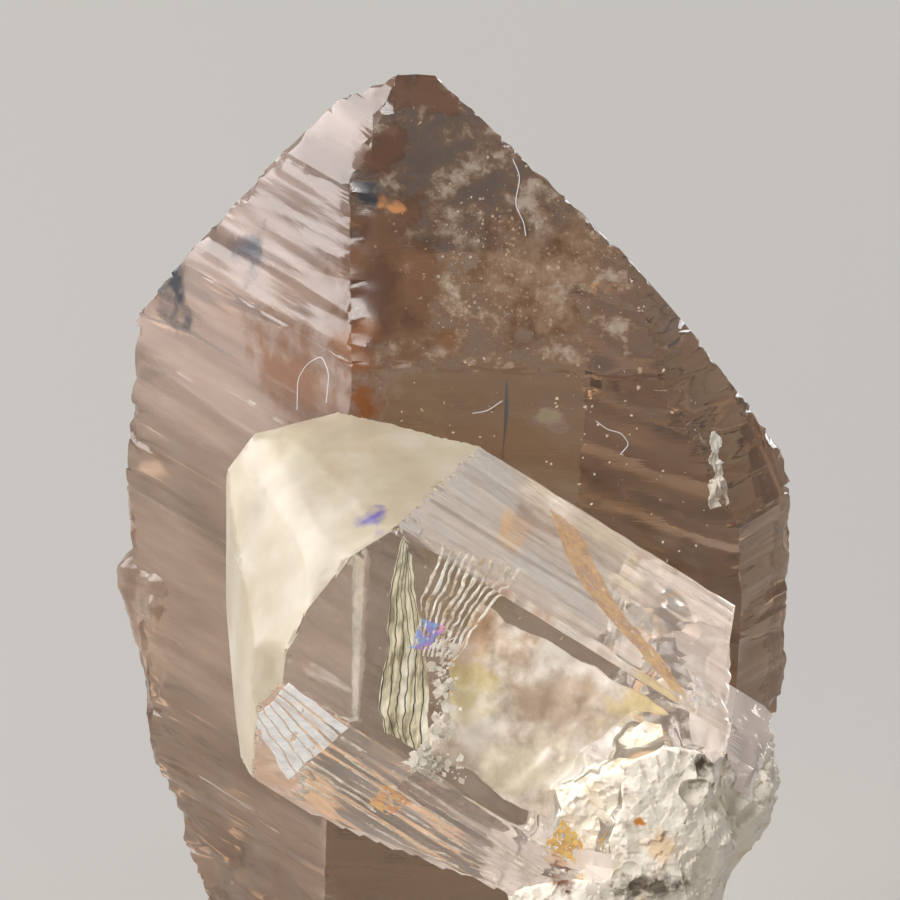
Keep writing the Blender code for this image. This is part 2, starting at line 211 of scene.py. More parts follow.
# Feldspar lump
MATRIX_CENTRE = (6.9, -9.8, 11.0)
MATRIX_RADII = (4.5, 6.2, 5.3)
MATRIX_BUMPS = [(4.0, 0.7), (1.9, 0.6), (0.85, 0.28)]   # size and height of each layer of bumps
MATRIX_SEED = 21
MATRIX_DETAIL = 7
ROOM_DETAIL = 5              # of the plainer lumps that room is cut with
MATRIX_CHIP = ((0.85, -0.175, -0.495), 5.9)   # broken away at the lower right: direction and distance
KNOB_CENTRE = (10.5, -7.8, 9.9)
KNOB_RADII = (1.3, 1.6, 1.6)
KNOB_BUMPS = [(1.5, 0.5)]
KNOB_SEED = 23
CHIP_REACH = 11.0            # how far the mesh lines of the break go, and how far apart they are
CHIP_STEP = 0.3
CHIP_LAYERS = [(2.6, 0.8, 71), (1.2, 0.4, 73)]
PIT_CENTRES = [
    (9.2, -15.0, 14.7), (8.8, -15.9, 14.0), (6.4, -16.3, 10.9), (10.8, -13.2, 12.2), (4.3, -14.2, 7.2),
]
PIT_RADII = (0.6, 0.6, 0.42)
PIT_BUMPS = [(0.8, 0.3), (0.3, 0.1)]
PIT_SEED = 40
PIT_DETAIL = 4
GRAIN_SIZE = 0.45            # size of the sugary grains of the feldspar
GRAIN_HEIGHT = 0.17


# Shapes

def heading(turn, slope):
    """Unit vector from a heading round the Z axis and a slope above the horizon, in degrees."""
    turn, slope = math.radians(turn), math.radians(slope)
    return Vector((math.cos(slope) * math.cos(turn), math.cos(slope) * math.sin(turn), math.sin(slope)))


def rough(point, size, seed):
    """Smooth noise between about -1 and 1 with features of the given size."""
    return noise.noise(point / size + seed * SEED_STEP)


def layered(point, layers):
    """Sum of layers of noise given as (size, height, seed)."""
    return sum(height * rough(point, size, seed) for size, height, seed in layers)


def chipped(point, layers):
    """Sum of layers of noise with the hollows of each filled in, which leaves single chips."""
    return sum(height * max(0.0, rough(point, size, seed)) for size, height, seed in layers)


def cut_block(planes):
    """Closed convex solid left of a block after cutting along each (name, normal, distance) plane."""
    block = bmesh.new()
    bmesh.ops.create_cube(block, size=2 * BLOCK)
    for name, normal, distance in planes:
        everything = block.verts[:] + block.edges[:] + block.faces[:]
        cut = bmesh.ops.bisect_plane(block, geom=everything, dist=1e-5, plane_co=normal * distance,
                                     plane_no=normal, clear_outer=True)
        rim = [item for item in cut["geom_cut"] if isinstance(item, bmesh.types.BMEdge)]
        if rim:
            bmesh.ops.contextual_create(block, geom=rim)
    bmesh.ops.remove_doubles(block, verts=block.verts, dist=1e-4)
    bmesh.ops.recalc_face_normals(block, faces=block.faces)
    return block


def slice_lines(mesh, normal, low, high, step):
    """Score the surface along parallel planes from low to high so that relief can be put on it."""
    for k in range(int((high - low) / step)):
        everything = mesh.verts[:] + mesh.edges[:] + mesh.faces[:]
        bmesh.ops.bisect_plane(mesh, geom=everything, dist=1e-3, plane_no=normal,
                               plane_co=normal * (low + (k + 0.5) * step))


def planes_at(point, planes):
    """Indexes of the planes that a point lies on."""
    return [i for i, (name, normal, distance) in enumerate(planes)
            if abs(normal.dot(point) - distance) < ON_PLANE]


def carve(mesh, planes, depth_at, wear_at):
    """Move the surface inwards: by depth_at on a face and further, by wear_at, along edges and corners."""
    moves = []
    for vertex in mesh.verts:
        on = planes_at(vertex.co, planes)
        if not on:
            continue
        depth = sum(depth_at(planes[i][0], vertex.co) for i in on) / len(on)
        if len(on) > 1:
            depth += wear_at(vertex.co) * (len(on) - 1)
        sides = np.array([planes[i][1] for i in on])
        move = np.linalg.lstsq(sides, np.full(len(on), -depth), rcond=STEEPEST)[0]
        moves.append((vertex, Vector(move)))
    for vertex, move in moves:
        vertex.co += move


def quartz_planes(extra=0.0):
    """Face planes of the quartz, all moved outwards by the extra distance; Z = 0 is the foot."""
    centre = Vector((0, 0, FOOT_TO_CENTRE))
    planes = []
    for name, turn, slope, distance in QUARTZ_FACES:
        normal = heading(turn, slope)
        planes.append((name, normal, distance + normal.dot(centre) + extra))
    return planes


QUARTZ_NAMES = [row[0] for row in QUARTZ_FACES]


def quartz_depth(name, point):
    """Depth of the relief of a quartz face at a point: swells, growth steps and fine growth lines."""
    if name == "foot":
        return 0.0
    face = QUARTZ_NAMES.index(name)
    relief = QUARTZ_RELIEF.get(name, PLAIN_RELIEF)
    depth = relief * (0.5 + 0.5 * rough(point, SWELL_SIZE, face))
    if name in QUARTZ_RELIEF and name.startswith(("prism", "steep", "mid")):
        band = rough(flattened(point, LEVEL), LEDGE_SIZE, face + 2)
        step = min(1.0, max(0.0, (band + 0.05) / LEDGE_EDGE))
        depth += LEDGE_SHARE.get(name, 1.0) * LEDGE_DEPTH * step
    layers = [(size, height, seed + face) for size, height, seed in LINE_LAYERS]
    depth += GROWTH_LINES.get(name, PLAIN_LINES) * (1.0 + layered(flattened(point, LINE_LEVEL), layers))
    low = max(0.0, 1.0 - point.z / FOOT_BREAK)
    depth += low * (BREAK_DEPTH + layered(point, BREAK_LAYERS))
    return max(0.0, depth)


def flattened(point, level):
    """Place whose x and y count less, so that noise on it is drawn out sideways."""
    return Vector((level * point.x, level * point.y, point.z))


def quartz_wear(point):
    """Chips along the quartz edges."""
    return QUARTZ_WEAR + chipped(point, QUARTZ_CHIPS)


def keep_foot_flat(mesh):
    """Put the points of the foot back on the floor after carving."""
    for vertex in mesh.verts:
        if vertex.co.z < ON_PLANE:
            vertex.co.z = 0.0


def make_quartz():
    """Standing quartz crystal with growth lines, worn edges and a broken foot."""
    planes = quartz_planes()
    crystal = cut_block(planes)
    slice_lines(crystal, heading(FRONT_TURN, 0), -QUARTZ_HALF_DEPTH, QUARTZ_HALF_DEPTH, COLUMN_STEP)
    slice_lines(crystal, heading(FRONT_TURN + 90, 0), -QUARTZ_HALF_WIDTH, QUARTZ_HALF_WIDTH, COLUMN_STEP)
    slice_lines(crystal, Vector((0, 0, 1)), 0.0, QUARTZ_HEIGHT, LINE_STEP)
    carve(crystal, planes, quartz_depth, quartz_wear)
    keep_foot_flat(crystal)
    return crystal


def make_lump(centre, radii, layers, seed, detail, extra=0.0):
    """Round lump with bumps; layers gives (size of bump, height of bump) from coarse to fine."""
    lump = bmesh.new()
    bmesh.ops.create_icosphere(lump, subdivisions=detail, radius=1.0)
    centre = Vector(centre)
    for vertex in lump.verts:
        outward = vertex.co.normalized()
        point = Vector([math.copysign(abs(d) ** BLOCKINESS, d) * r for d, r in zip(outward, radii)])
        swell = sum(height * rough(point, size, seed + k) for k, (size, height) in enumerate(layers))
        vertex.co = centre + point + outward * (swell + extra)
    return lump


def make_bump():
    """Side growth: a lump drawn out downwards along the flank, with growth steps across it."""
    lump = make_lump(BUMP_CENTRE, BUMP_RADII, BUMP_LAYERS, BUMP_SEED, BUMP_DETAIL)
    centre = Vector(BUMP_CENTRE)
    for vertex in lump.verts:
        drop = centre.z - vertex.co.z
        if drop > 0:
            vertex.co.z -= (BUMP_TAIL - 1.0) * drop
            vertex.co.x += BUMP_LEAN * drop
        outward = (vertex.co - centre).normalized()
        vertex.co += outward * layered(flattened(vertex.co, BUMP_LEVEL), BUMP_STEPS)
    return lump


def topaz_frame():
    """Centre of the topaz with its down, out and along directions."""
    along = heading(*TOPAZ_AXIS)
    out = heading(*TOPAZ_FRONT)
    out = (out - out.dot(along) * along).normalized()
    return Vector(TOPAZ_CENTRE), out.cross(along), out, along


def to_world(corner):
    """Point given as (down, out, along) from the topaz centre."""
    centre, down, out, along = topaz_frame()
    return centre + corner[0] * down + corner[1] * out + corner[2] * along


def side_planes(sides, extra=0.0):
    """Planes of prism sides that run along the topaz."""
    centre, down, out, along = topaz_frame()
    planes = []
    for name, turn, distance in sides:
        turn = math.radians(turn)
        normal = math.cos(turn) * out - math.sin(turn) * down
        planes.append((name, normal, distance + normal.dot(centre) + extra))
    return planes


def topaz_planes():
    """All the planes of the topaz."""
    centre, down, out, along = topaz_frame()
    planes = side_planes(TOPAZ_SIDES)
    for part, *corners in TIP_FACES:
        a, b, c = (to_world(TIP_CORNERS[corner]) for corner in corners)
        normal = (b - a).cross(c - a).normalized()
        if normal.dot(along) < 0:
            normal = -normal
        planes.append((part, normal, normal.dot(a)))
    for (right, front, tip), distance in TOPAZ_ROOT:
        normal = (right * down + front * out + tip * along).normalized()
        planes.append(("root", normal, distance + normal.dot(centre)))
    return planes


def stub_planes():
    """Planes of the broken stub at the root of the topaz."""
    centre, down, out, along = topaz_frame()
    start, end = STUB_LENGTH
    planes = side_planes(STUB_SIDES)
    planes.append(("root", along, along.dot(centre) - start))
    planes.append(("root", -along, -along.dot(centre) + end))
    return planes


def topaz_depth(name, point):
    """Depth of the topaz relief at a point: lengthwise ribs on the sides, rough breaks at the root."""
    centre, down, out, along = topaz_frame()
    offset = point - centre
    across = Vector((offset.dot(down), offset.dot(out), RIB_STRETCH * offset.dot(along)))
    if name == "root":
        return ROOT_DEPTH + layered(point, ROOT_LAYERS)
    if name.startswith("cap"):
        return CAP_RELIEF * (1.0 + layered(point, CAP_RELIEF_LAYERS))
    return TOPAZ_RIBS[name] * (1.0 + layered(across, RIB_LAYERS))


def topaz_wear(point):
    """Small chips along the topaz edges."""
    return TOPAZ_WEAR + chipped(point, TOPAZ_CHIPS)


def even_out(mesh, planes, parts, rounds):
    """Round off the creases between the faces of one part of the free end."""
    soft = []
    for vertex in mesh.verts:
        on = planes_at(vertex.co, planes)
        if on and all(planes[i][0] in parts for i in on):
            soft.append(vertex)
    for _ in range(rounds):
        bmesh.ops.smooth_vert(mesh, verts=soft, factor=0.5, use_axis_x=True, use_axis_y=True,
                              use_axis_z=True)


def make_prism(planes):
    """Topaz solid with lengthwise ribs, worn edges and a rounded free end."""
    centre, down, out, along = topaz_frame()
    crystal = cut_block(planes)
    rows = [
        (along, TOPAZ_ALONG[0], CAP_START, LENGTH_STEP),
        (along, CAP_START, TOPAZ_ALONG[1], CAP_STEP),
        (down, *TOPAZ_DOWN, RIB_STEP),
        (out, *TOPAZ_OUT, RIB_STEP),
    ]
    for normal, low, high, step in rows:
        middle = centre.dot(normal)
        slice_lines(crystal, normal, middle + low, middle + high, step)
    even_out(crystal, planes, ("cap",), CAP_ROUNDS)
    even_out(crystal, planes, ("cap_side",), CAP_ROUNDS)
    carve(crystal, planes, topaz_depth, topaz_wear)
    return crystal


def make_chip():
    """Block with one rough side, to break a corner off the feldspar with."""
    side, distance = Vector(MATRIX_CHIP[0]).normalized(), MATRIX_CHIP[1]
    chip = cut_block([("chip", -side, -distance)])
    for normal in (Vector((0, 0, 1)), Vector((0, 1, 0))):
        middle = normal.dot(Vector(MATRIX_CENTRE))
        slice_lines(chip, normal, middle - CHIP_REACH, middle + CHIP_REACH, CHIP_STEP)
    for vertex in chip.verts:
        if abs(vertex.co.dot(side) - distance) < ON_PLANE:
            vertex.co += side * (layered(vertex.co, CHIP_LAYERS) + grain(vertex.co))
    return chip


def grain(point):
    """Height of the sugary surface: each grain is a small flat facet with a tilt of its own."""
    cell = noise.voronoi(point / GRAIN_SIZE)[1][0]
    tilt = noise.cell_vector(cell * 3.7) * 2.0 - Vector((1.0, 1.0, 1.0))
    return GRAIN_HEIGHT * (point / GRAIN_SIZE - cell).dot(tilt)


def to_object(mesh, name):
    """Turn a millimetre mesh into a scene object in metres."""
    bmesh.ops.triangulate(mesh, faces=mesh.faces)
    bmesh.ops.recalc_face_normals(mesh, faces=mesh.faces)
    for vertex in mesh.verts:
        vertex.co *= MM
    data = bpy.data.meshes.new(name)
    mesh.to_mesh(data)
    mesh.free()
    made = bpy.data.objects.new(name, data)
    bpy.context.scene.collection.objects.link(made)
    return made


def combine(target, other, operation):
    """Apply one boolean and delete the object that it was made with."""
    modifier = target.modifiers.new("combine", "BOOLEAN")
    modifier.operation = operation
    modifier.solver = "MANIFOLD"
    modifier.object = other
    graph = bpy.context.evaluated_depsgraph_get()
    result = bpy.data.meshes.new_from_object(target.evaluated_get(graph))
    target.modifiers.clear()
    target.data = result
    bpy.data.objects.remove(other)


def shape_matrix(name, detail, extra, fine):
    """Feldspar lump with its knob, swollen by the extra distance; fine adds the sugary grains."""
    lump = make_lump(MATRIX_CENTRE, MATRIX_RADII, MATRIX_BUMPS, MATRIX_SEED, detail, extra)
    knob = make_lump(KNOB_CENTRE, KNOB_RADII, KNOB_BUMPS, KNOB_SEED, detail - 1, extra)
    if fine:
        add_grains(lump, Vector(MATRIX_CENTRE))
        add_grains(knob, Vector(KNOB_CENTRE))
    made = to_object(lump, name)
    combine(made, to_object(knob, "knob"), "UNION")
    return made


def add_grains(mesh, centre):
    """Push the surface of a lump in and out by the grain height."""
    for vertex in mesh.verts:
        vertex.co += (vertex.co - centre).normalized() * (grain(vertex.co) - 0.5 * GRAIN_HEIGHT)


def make_matrix():
    """Feldspar lump with pits, cut clear of the quartz and broken off at the lower right."""
    matrix = shape_matrix("matrix", MATRIX_DETAIL, 0.0, True)
    for k, centre in enumerate(PIT_CENTRES):
        pit = make_lump(centre, PIT_RADII, PIT_BUMPS, PIT_SEED + k, PIT_DETAIL)
        combine(matrix, to_object(pit, "pit"), "DIFFERENCE")
    combine(matrix, to_object(cut_block(quartz_planes(CONTACT)), "room_for_quartz"), "DIFFERENCE")
    combine(matrix, to_object(make_chip(), "chip"), "DIFFERENCE")
    return matrix


def keep_largest(made):
    """Drop the crumbs that the cuts left loose."""
    mesh = bmesh.new()
    mesh.from_mesh(made.data)
    unseen = set(mesh.verts)
    islands = []
    while unseen:
        edge = [unseen.pop()]
        island = set(edge)
        while edge:
            for link in edge.pop().link_edges:
                for vertex in link.verts:
                    if vertex in unseen:
                        unseen.remove(vertex)
                        island.add(vertex)
                        edge.append(vertex)
        islands.append(island)
    for crumb in sorted(islands, key=len)[:-1]:
        bmesh.ops.delete(mesh, geom=list(crumb), context="VERTS")
    mesh.to_mesh(made.data)
    mesh.free()


# What is inside the crystals

FLAKE_CORNERS = 5
FLAKE_UNEVEN = 0.6           # how far the corners of a flake stray from an even spacing
FLAKE_THICKNESS = 0.15       # as a share of the flake's size
FLAKE_FACING = (0, -0.9, 0.4)
FINE_FOLDS = 0.35            # size of the small folds of a sheet, as a share of its large ones
SHEET_THICKNESS = 0.02


def in_topaz(down_by, along_by, depth, side="front"):
    """Place under a side of the topaz, from its distances down and along, and its depth inside."""
    centre, down, out, along = topaz_frame()
    turn, distance = {name: (turn, distance) for name, turn, distance in TOPAZ_SIDES}[side]
    turn = math.radians(turn)
    out_by = (distance - depth + down_by * math.sin(turn)) / math.cos(turn)
    return centre + down_by * down + out_by * out + along_by * along


def in_quartz(face, x, z, depth):
    """Place under a face of the quartz, from its x and z and its depth inside."""
    normal, distance = {name: (normal, distance) for name, normal, distance in quartz_planes()}[face]
    y = (distance - normal.x * x - normal.z * z) / normal.y
    return Vector((x, y, z)) - normal * depth


def between(points, part):
    """Point at a share of the way along a row of points in a plane."""
    reach = part * (len(points) - 1)
    k = min(int(reach), len(points) - 2)
    return Vector(points[k]).lerp(Vector(points[k + 1]), reach - k)


def make_sheet(name, place_at, rows, columns, keep_at):
    """Thin closed plate with a ragged outline: place_at and keep_at take shares from 0 to 1."""
    mesh = bmesh.new()
    grid = []
    for i in range(rows):
        grid.append([mesh.verts.new(place_at(i / (rows - 1), j / (columns - 1))) for j in range(columns)])
    for i in range(rows - 1):
        for j in range(columns - 1):
            if keep_at((i + 0.5) / (rows - 1), (j + 0.5) / (columns - 1)):
                mesh.faces.new((grid[i][j], grid[i + 1][j], grid[i + 1][j + 1], grid[i][j + 1]))
    loose = [vertex for vertex in mesh.verts if not vertex.link_faces]
    bmesh.ops.delete(mesh, geom=loose, context="VERTS")
    bmesh.ops.solidify(mesh, geom=mesh.faces[:], thickness=SHEET_THICKNESS)
    return to_object(mesh, name)


def make_flakes(name, places, smallest, largest, spread, seed):
    """Many small five-sided plates that face the front, each turned a little away from it."""
    draw = np.random.default_rng(seed)
    mesh = bmesh.new()
    for place in places:
        normal = (Vector(FLAKE_FACING) + Vector(draw.normal(0.0, spread, 3))).normalized()
        side = normal.orthogonal().normalized()
        up = normal.cross(side)
        size = smallest + (largest - smallest) * draw.random() ** 2
        rim = []
        for k in range(FLAKE_CORNERS):
            angle = 2 * math.pi * (k + FLAKE_UNEVEN * draw.random()) / FLAKE_CORNERS
            reach = size * (0.5 + 0.5 * draw.random())
            rim.append(place + reach * (math.cos(angle) * side + math.sin(angle) * up))
        face = mesh.faces.new([mesh.verts.new(point) for point in rim])
        bmesh.ops.solidify(mesh, geom=[face], thickness=FLAKE_THICKNESS * size)
    return to_object(mesh, name)


def crumple(point, height, size, seed):
    """Push a place about by noise of two sizes."""
    shift = []
    for k in range(3):
        coarse = rough(point, size, seed + k)
        fine = rough(point, FINE_FOLDS * size, seed + k + 3)
        shift.append(coarse + 0.5 * fine)
    return point + height * Vector(shift)


def waves(u, v, counts, seed):
    """Noise over a sheet; counts are its bumps along and across, and a shift."""
    return rough(Vector((u * counts[0], v * counts[1], counts[2])), 1.0, seed)


# Sheets inside the topaz. Each lies between two rows of (down, along) places on one side of the prism,
# at a depth that changes from the first row to the second, and may be split into ribbons.
CRACK_LEFT = [(-3.4, 7.7), (-2.2, 7.2), (-0.9, 6.5), (0.1, 5.8), (1.2, 5.3), (2.0, 4.9), (2.6, 4.2)]
CRACK_RIGHT = [(-3.1, 6.9), (-1.9, 5.9), (-0.6, 4.7), (0.3, 3.9), (1.1, 3.3), (1.8, 2.8), (2.5, 2.3)]
VEILS = {
    "crack": dict(left=CRACK_LEFT, right=CRACK_RIGHT, depth=(0.5, 0.8), crumples=0.09, seed=80),
    "crack_line": dict(left=CRACK_LEFT, right=CRACK_RIGHT, depth=(0.4, 0.7), ribbons=6, share=0.14,
                       crumples=0.09, seed=80),
    "fan": dict(left=[(-0.3, 5.0), (-2.0, 5.9), (-3.9, 6.3)], right=[(-0.8, 3.3), (-2.6, 3.4), (-4.6, 2.9)],
                depth=(0.4, 0.9), ribbons=10, share=0.4, crumples=0.12, seed=84),
    "film": dict(left=[(-0.3, 5.2), (-1.4, 5.4)], right=[(-0.6, 4.6), (-1.6, 4.5)], depth=(0.35, 0.35),
                 ragged=-0.25, crumples=0.05, seed=86),
    "cloud": dict(left=[(-3.0, 3.6), (-0.3, 3.2), (2.3, 2.2)],
                  right=[(-3.3, -5.2), (-0.5, -5.0), (2.3, -4.6)], depth=(2.3, 1.5), ragged=-0.8,
                  crumples=0.42, fold=2.6, seed=90),
    # the bright sheet is a painted highlight: a white sheet under the lower side where there is only a
    # specular highlight
    "bright": dict(left=[(2.9, 8.2), (3.1, 5.4)], right=[(4.6, 7.8), (5.8, 5.0)], depth=(0.15, 0.2),
                   side="lower", ribbons=7, share=0.8, ragged=-0.5, crumples=0.05, seed=92),
    "streak": dict(left=[(3.3, 5.2), (3.4, 0.0), (3.6, -4.2)], right=[(5.6, 5.0), (5.6, 0.0), (4.8, -3.4)],
                   depth=(0.5, 0.5), side="lower", ribbons=9, share=0.3, ragged=-0.15, crumples=0.06,
                   seed=94),
    "yellow_spot": dict(left=[(4.0, 2.6), (4.1, 1.4)], right=[(4.9, 2.3), (4.9, 1.5)], depth=(0.3, 0.3),
                        side="lower", ragged=-0.2, crumples=0.05, seed=96),
    "brown_wedge": dict(left=[(2.9, 2.4), (2.9, -1.7)], right=[(4.1, 2.1), (3.1, -1.7)], depth=(0.6, 0.6),
                        side="lower", crumples=0.08, seed=97),
    "amber": dict(left=[(-6.8, 2.3), (-5.6, 1.1), (-4.8, -0.5), (-4.3, -2.2), (-3.7, -3.7)],
                  right=[(-6.7, 0.9), (-5.5, -0.6), (-4.9, -1.8), (-4.5, -3.2), (-3.8, -4.4)],
                  depth=(0.3, 0.3), side="upper", ragged=-0.42, crumples=0.08, seed=95),
    "root_yellow": dict(left=[(1.9, -3.0), (2.9, -3.0)], right=[(2.2, -3.9), (3.0, -4.3)],
                        depth=(0.25, 0.25), ragged=-0.2, crumples=0.08, seed=101),
    "root_brown": dict(left=[(3.2, -3.7), (3.9, -3.8)], right=[(3.2, -4.4), (3.8, -4.5)], depth=(0.2, 0.2),
                       side="lower", ragged=-0.2, crumples=0.08, seed=103),
    "root_frost": dict(left=[(-4.7, -4.3), (-3.7, -4.5)], right=[(-4.6, -5.5), (-3.7, -5.6)],
                       depth=(0.3, 0.3), side="upper", ragged=-0.05, crumples=0.12, seed=99),
}
VEIL_ROWS = 70
VEIL_COLUMNS = 84
VEIL_SWAY = 0.16             # how far the sheets and ribbons wind from side to side
SWAY_COUNTS = (4, 2, 0)
HOLE_COUNTS = (6, 6, 2)


def make_veil(name, left, right, depth, side="front", ribbons=1, share=1.0, ragged=-1.0, crumples=0.1,
              fold=0.8, seed=0):
    """One of the sheets inside the topaz; ribbons and share split it, ragged makes holes in it."""
    def place(u, v):
        edge = between(left, u).lerp(between(right, u), v)
        sway = VEIL_SWAY * waves(u, v, SWAY_COUNTS, seed)
        point = in_topaz(edge.x, edge.y + sway, depth[0] + (depth[1] - depth[0]) * v, side)
        return crumple(point, crumples, fold, seed)

    def keep(u, v):
        return (v * ribbons) % 1.0 <= share and waves(u, v, HOLE_COUNTS, seed + 5) > ragged

    made = make_sheet(name, place, VEIL_ROWS, VEIL_COLUMNS, keep)
    made.data.shade_smooth()
    made.visible_shadow = False
    return made


# Bright flakes in the topaz beside the wavy crack, as (down, along)
GLINT_PATH = [(-1.3, 4.0), (-0.5, 3.8), (0.5, 2.9), (1.6, 2.4), (2.5, 2.6), (2.7, 2.0), (2.3, 1.0)]
GLINT_COUNT = 260
GLINT_SPREAD = 0.22
GLINT_SIZES = (0.05, 0.28)
GLINT_TURN = 0.5             # how far the flakes turn away from the front
GLINT_SEED = 5
# Frost under the quartz point: how many flakes, their middle and spread in x and in z
FROST_COUNT = 620
FROST_X = (1.6, 1.9)
FROST_Z = (29.4, 1.3)
FROST_DEPTH = 0.7
FROST_SIZES = (0.02, 0.1)
FROST_TURN = 0.6
FROST_SEED = 7
# Specks under the front side: how many, and the lowest x and z with the width and height of their area
SPECK_COUNT = 240
SPECK_X = (-3.6, 12.4)
SPECK_Z = (14.0, 12.0)
SPECK_DEPTH = 2.5
UNDER_SURFACE = 0.15         # nothing inside the quartz is nearer to a face than this
# Dust fibres lying on the quartz: the face, and a row of (x, z) places
FIBRES = [
    ("point_front", [(1.2, 32.3), (1.5, 31.8), (1.35, 31.0), (1.7, 30.5), (1.8, 30.1)]),
    ("steep_left", [(-5.75, 24.0), (-5.8, 24.9), (-5.5, 25.5), (-5.0, 26.0), (-4.7, 25.6),
                    (-4.75, 24.7)]),
    ("prism_front", [(4.6, 24.5), (5.0, 24.2), (5.5, 24.1), (5.8, 23.7), (5.5, 23.3)]),
    ("prism_front", [(0.3, 24.6), (0.8, 24.7), (1.3, 25.1)]),
]
FIBRE_RADIUS = 0.016
FIBRE_LIFT = 2.2             # height over the quartz, in radii
FIBRE_SIDES = 5
FIBRE_STEPS = 8              # mesh rings between two places of a fibre
FIBRE_ROUNDS = 6             # how often its bends are evened out


def make_glints():
    """Bright flakes along the edge of the wavy crack."""
    draw = np.random.default_rng(GLINT_SEED)
    places = []
    for _ in range(GLINT_COUNT):
        down_by, along_by = between(GLINT_PATH, draw.random())
        down_by += draw.normal(0, GLINT_SPREAD)
        along_by += draw.normal(0, GLINT_SPREAD)
        places.append(in_topaz(down_by, along_by, 0.5 + draw.random()))
    return make_flakes("glints", places, *GLINT_SIZES, GLINT_TURN, GLINT_SEED + 1)


def make_frost():
    """Sparkling flakes under the front faces of the quartz."""
    draw = np.random.default_rng(FROST_SEED)
    places = []
    for _ in range(FROST_COUNT):
        x, z = draw.normal(*FROST_X), draw.normal(*FROST_Z)
        places.append(in_quartz("point_front", x, z, UNDER_SURFACE + FROST_DEPTH * draw.random()))
    for _ in range(SPECK_COUNT):
        x = SPECK_X[0] + SPECK_X[1] * draw.random()
        z = SPECK_Z[0] + SPECK_Z[1] * draw.random()
        places.append(in_quartz("prism_front", x, z, UNDER_SURFACE + SPECK_DEPTH * draw.random() ** 2))
    planes = quartz_planes(-UNDER_SURFACE)
    places = [place for place in places
              if all(normal.dot(place) < distance for name, normal, distance in planes)]
    return make_flakes("frost", places, *FROST_SIZES, FROST_TURN, FROST_SEED + 1)


# Upper end (x, z) of the slit and of the scars, and how far these run down, across and to the side
SLIT_TOP = (1.42, 25.7)
SLIT_LENGTH = 3.0
SLIT_WIDTH = 0.13
SLIT_LEAN = 0.05
SLIT_DEPTH = (0.35, 0.5)       # depth under the face, and how much deeper its other side is
SLIT_GRID = (40, 6)
SCAR_TOP = (8.45, 23.9)
SCAR_LENGTH = 2.6
SCAR_WIDTH = 0.6
SCAR_LEAN = 0.25
SCAR_DEPTH = 0.5
SCAR_FOLDS = (0.16, 0.5, 98)   # height and size of the folds, and the seed
SCAR_GRID = (50, 18)
SCAR_HALF_WIDTH = 0.32       # as a share; noise moves the edge from there
SCAR_COUNTS = (6, 3, 1)
SCAR_EDGE_SEED = 9


def make_slit():
    """Dark narrow crack standing in the front of the quartz."""
    def place(u, v):
        x = SLIT_TOP[0] + SLIT_WIDTH * v * math.sin(math.pi * min(1.0, 0.12 + u)) + SLIT_LEAN * u
        depth = SLIT_DEPTH[0] + SLIT_DEPTH[1] * v
        return in_quartz("prism_front", x, SLIT_TOP[1] - SLIT_LENGTH * u, depth)

    return make_sheet("slit", place, *SLIT_GRID, lambda u, v: True)


def make_scars():
    """White crumpled fractures near the right-hand edge of the quartz."""
    def place(u, v):
        x = SCAR_TOP[0] + SCAR_WIDTH * v + SCAR_LEAN * u
        point = in_quartz("prism_front", x, SCAR_TOP[1] - SCAR_LENGTH * u, SCAR_DEPTH * (1.0 + v))
        return crumple(point, *SCAR_FOLDS)

    def keep(u, v):
        return abs(v - 0.5) < SCAR_HALF_WIDTH + 0.5 * waves(u, v, SCAR_COUNTS, SCAR_EDGE_SEED)

    return make_sheet("scars", place, *SCAR_GRID, keep)


def make_fibres():
    """Dust fibres: thin bent tubes that lie on the quartz."""
    mesh = bmesh.new()
    for face, path in FIBRES:
        steps = FIBRE_STEPS * (len(path) - 1)
        centres = []
        for k in range(steps + 1):
            centres.append(in_quartz(face, *between(path, k / steps), -FIBRE_LIFT * FIBRE_RADIUS))
        for _ in range(FIBRE_ROUNDS):
            inner = [(a + 2 * b + c) / 4 for a, b, c in zip(centres, centres[1:], centres[2:])]
            centres = [centres[0], *inner, centres[-1]]
        add_tube(mesh, centres)
    return to_object(mesh, "fibres")


def add_tube(mesh, centres):
    """Thin closed tube along a row of points."""
    rings = []
    for k, centre in enumerate(centres):
        ahead = (centres[min(k + 1, len(centres) - 1)] - centres[max(k - 1, 0)]).normalized()
        side = ahead.cross(Vector((0, -1, 0.2))).normalized()
        up = ahead.cross(side)
        ring = []
        for n in range(FIBRE_SIDES):
            angle = 2 * math.pi * n / FIBRE_SIDES
            reach = math.cos(angle) * side + math.sin(angle) * up
            ring.append(mesh.verts.new(centre + FIBRE_RADIUS * reach))
        rings.append(ring)
    for ring, following in zip(rings, rings[1:]):
        for n in range(FIBRE_SIDES):
            mesh.faces.new((ring[n], ring[n - 1], following[n - 1], following[n]))
    mesh.faces.new(rings[0])
    mesh.faces.new(rings[-1][::-1])


# Materials

def srgb(red, green, blue):
    """Colour for a shader from the 0 to 255 values of a picture."""
    values = []
    for level in (red, green, blue):
        level /= 255
        values.append(level / 12.92 if level <= 0.04045 else ((level + 0.055) / 1.055) ** 2.4)
    return (*values, 1.0)


RAGGED = 1.6                 # how far noise moves the edge of a spot, as a share of its radius


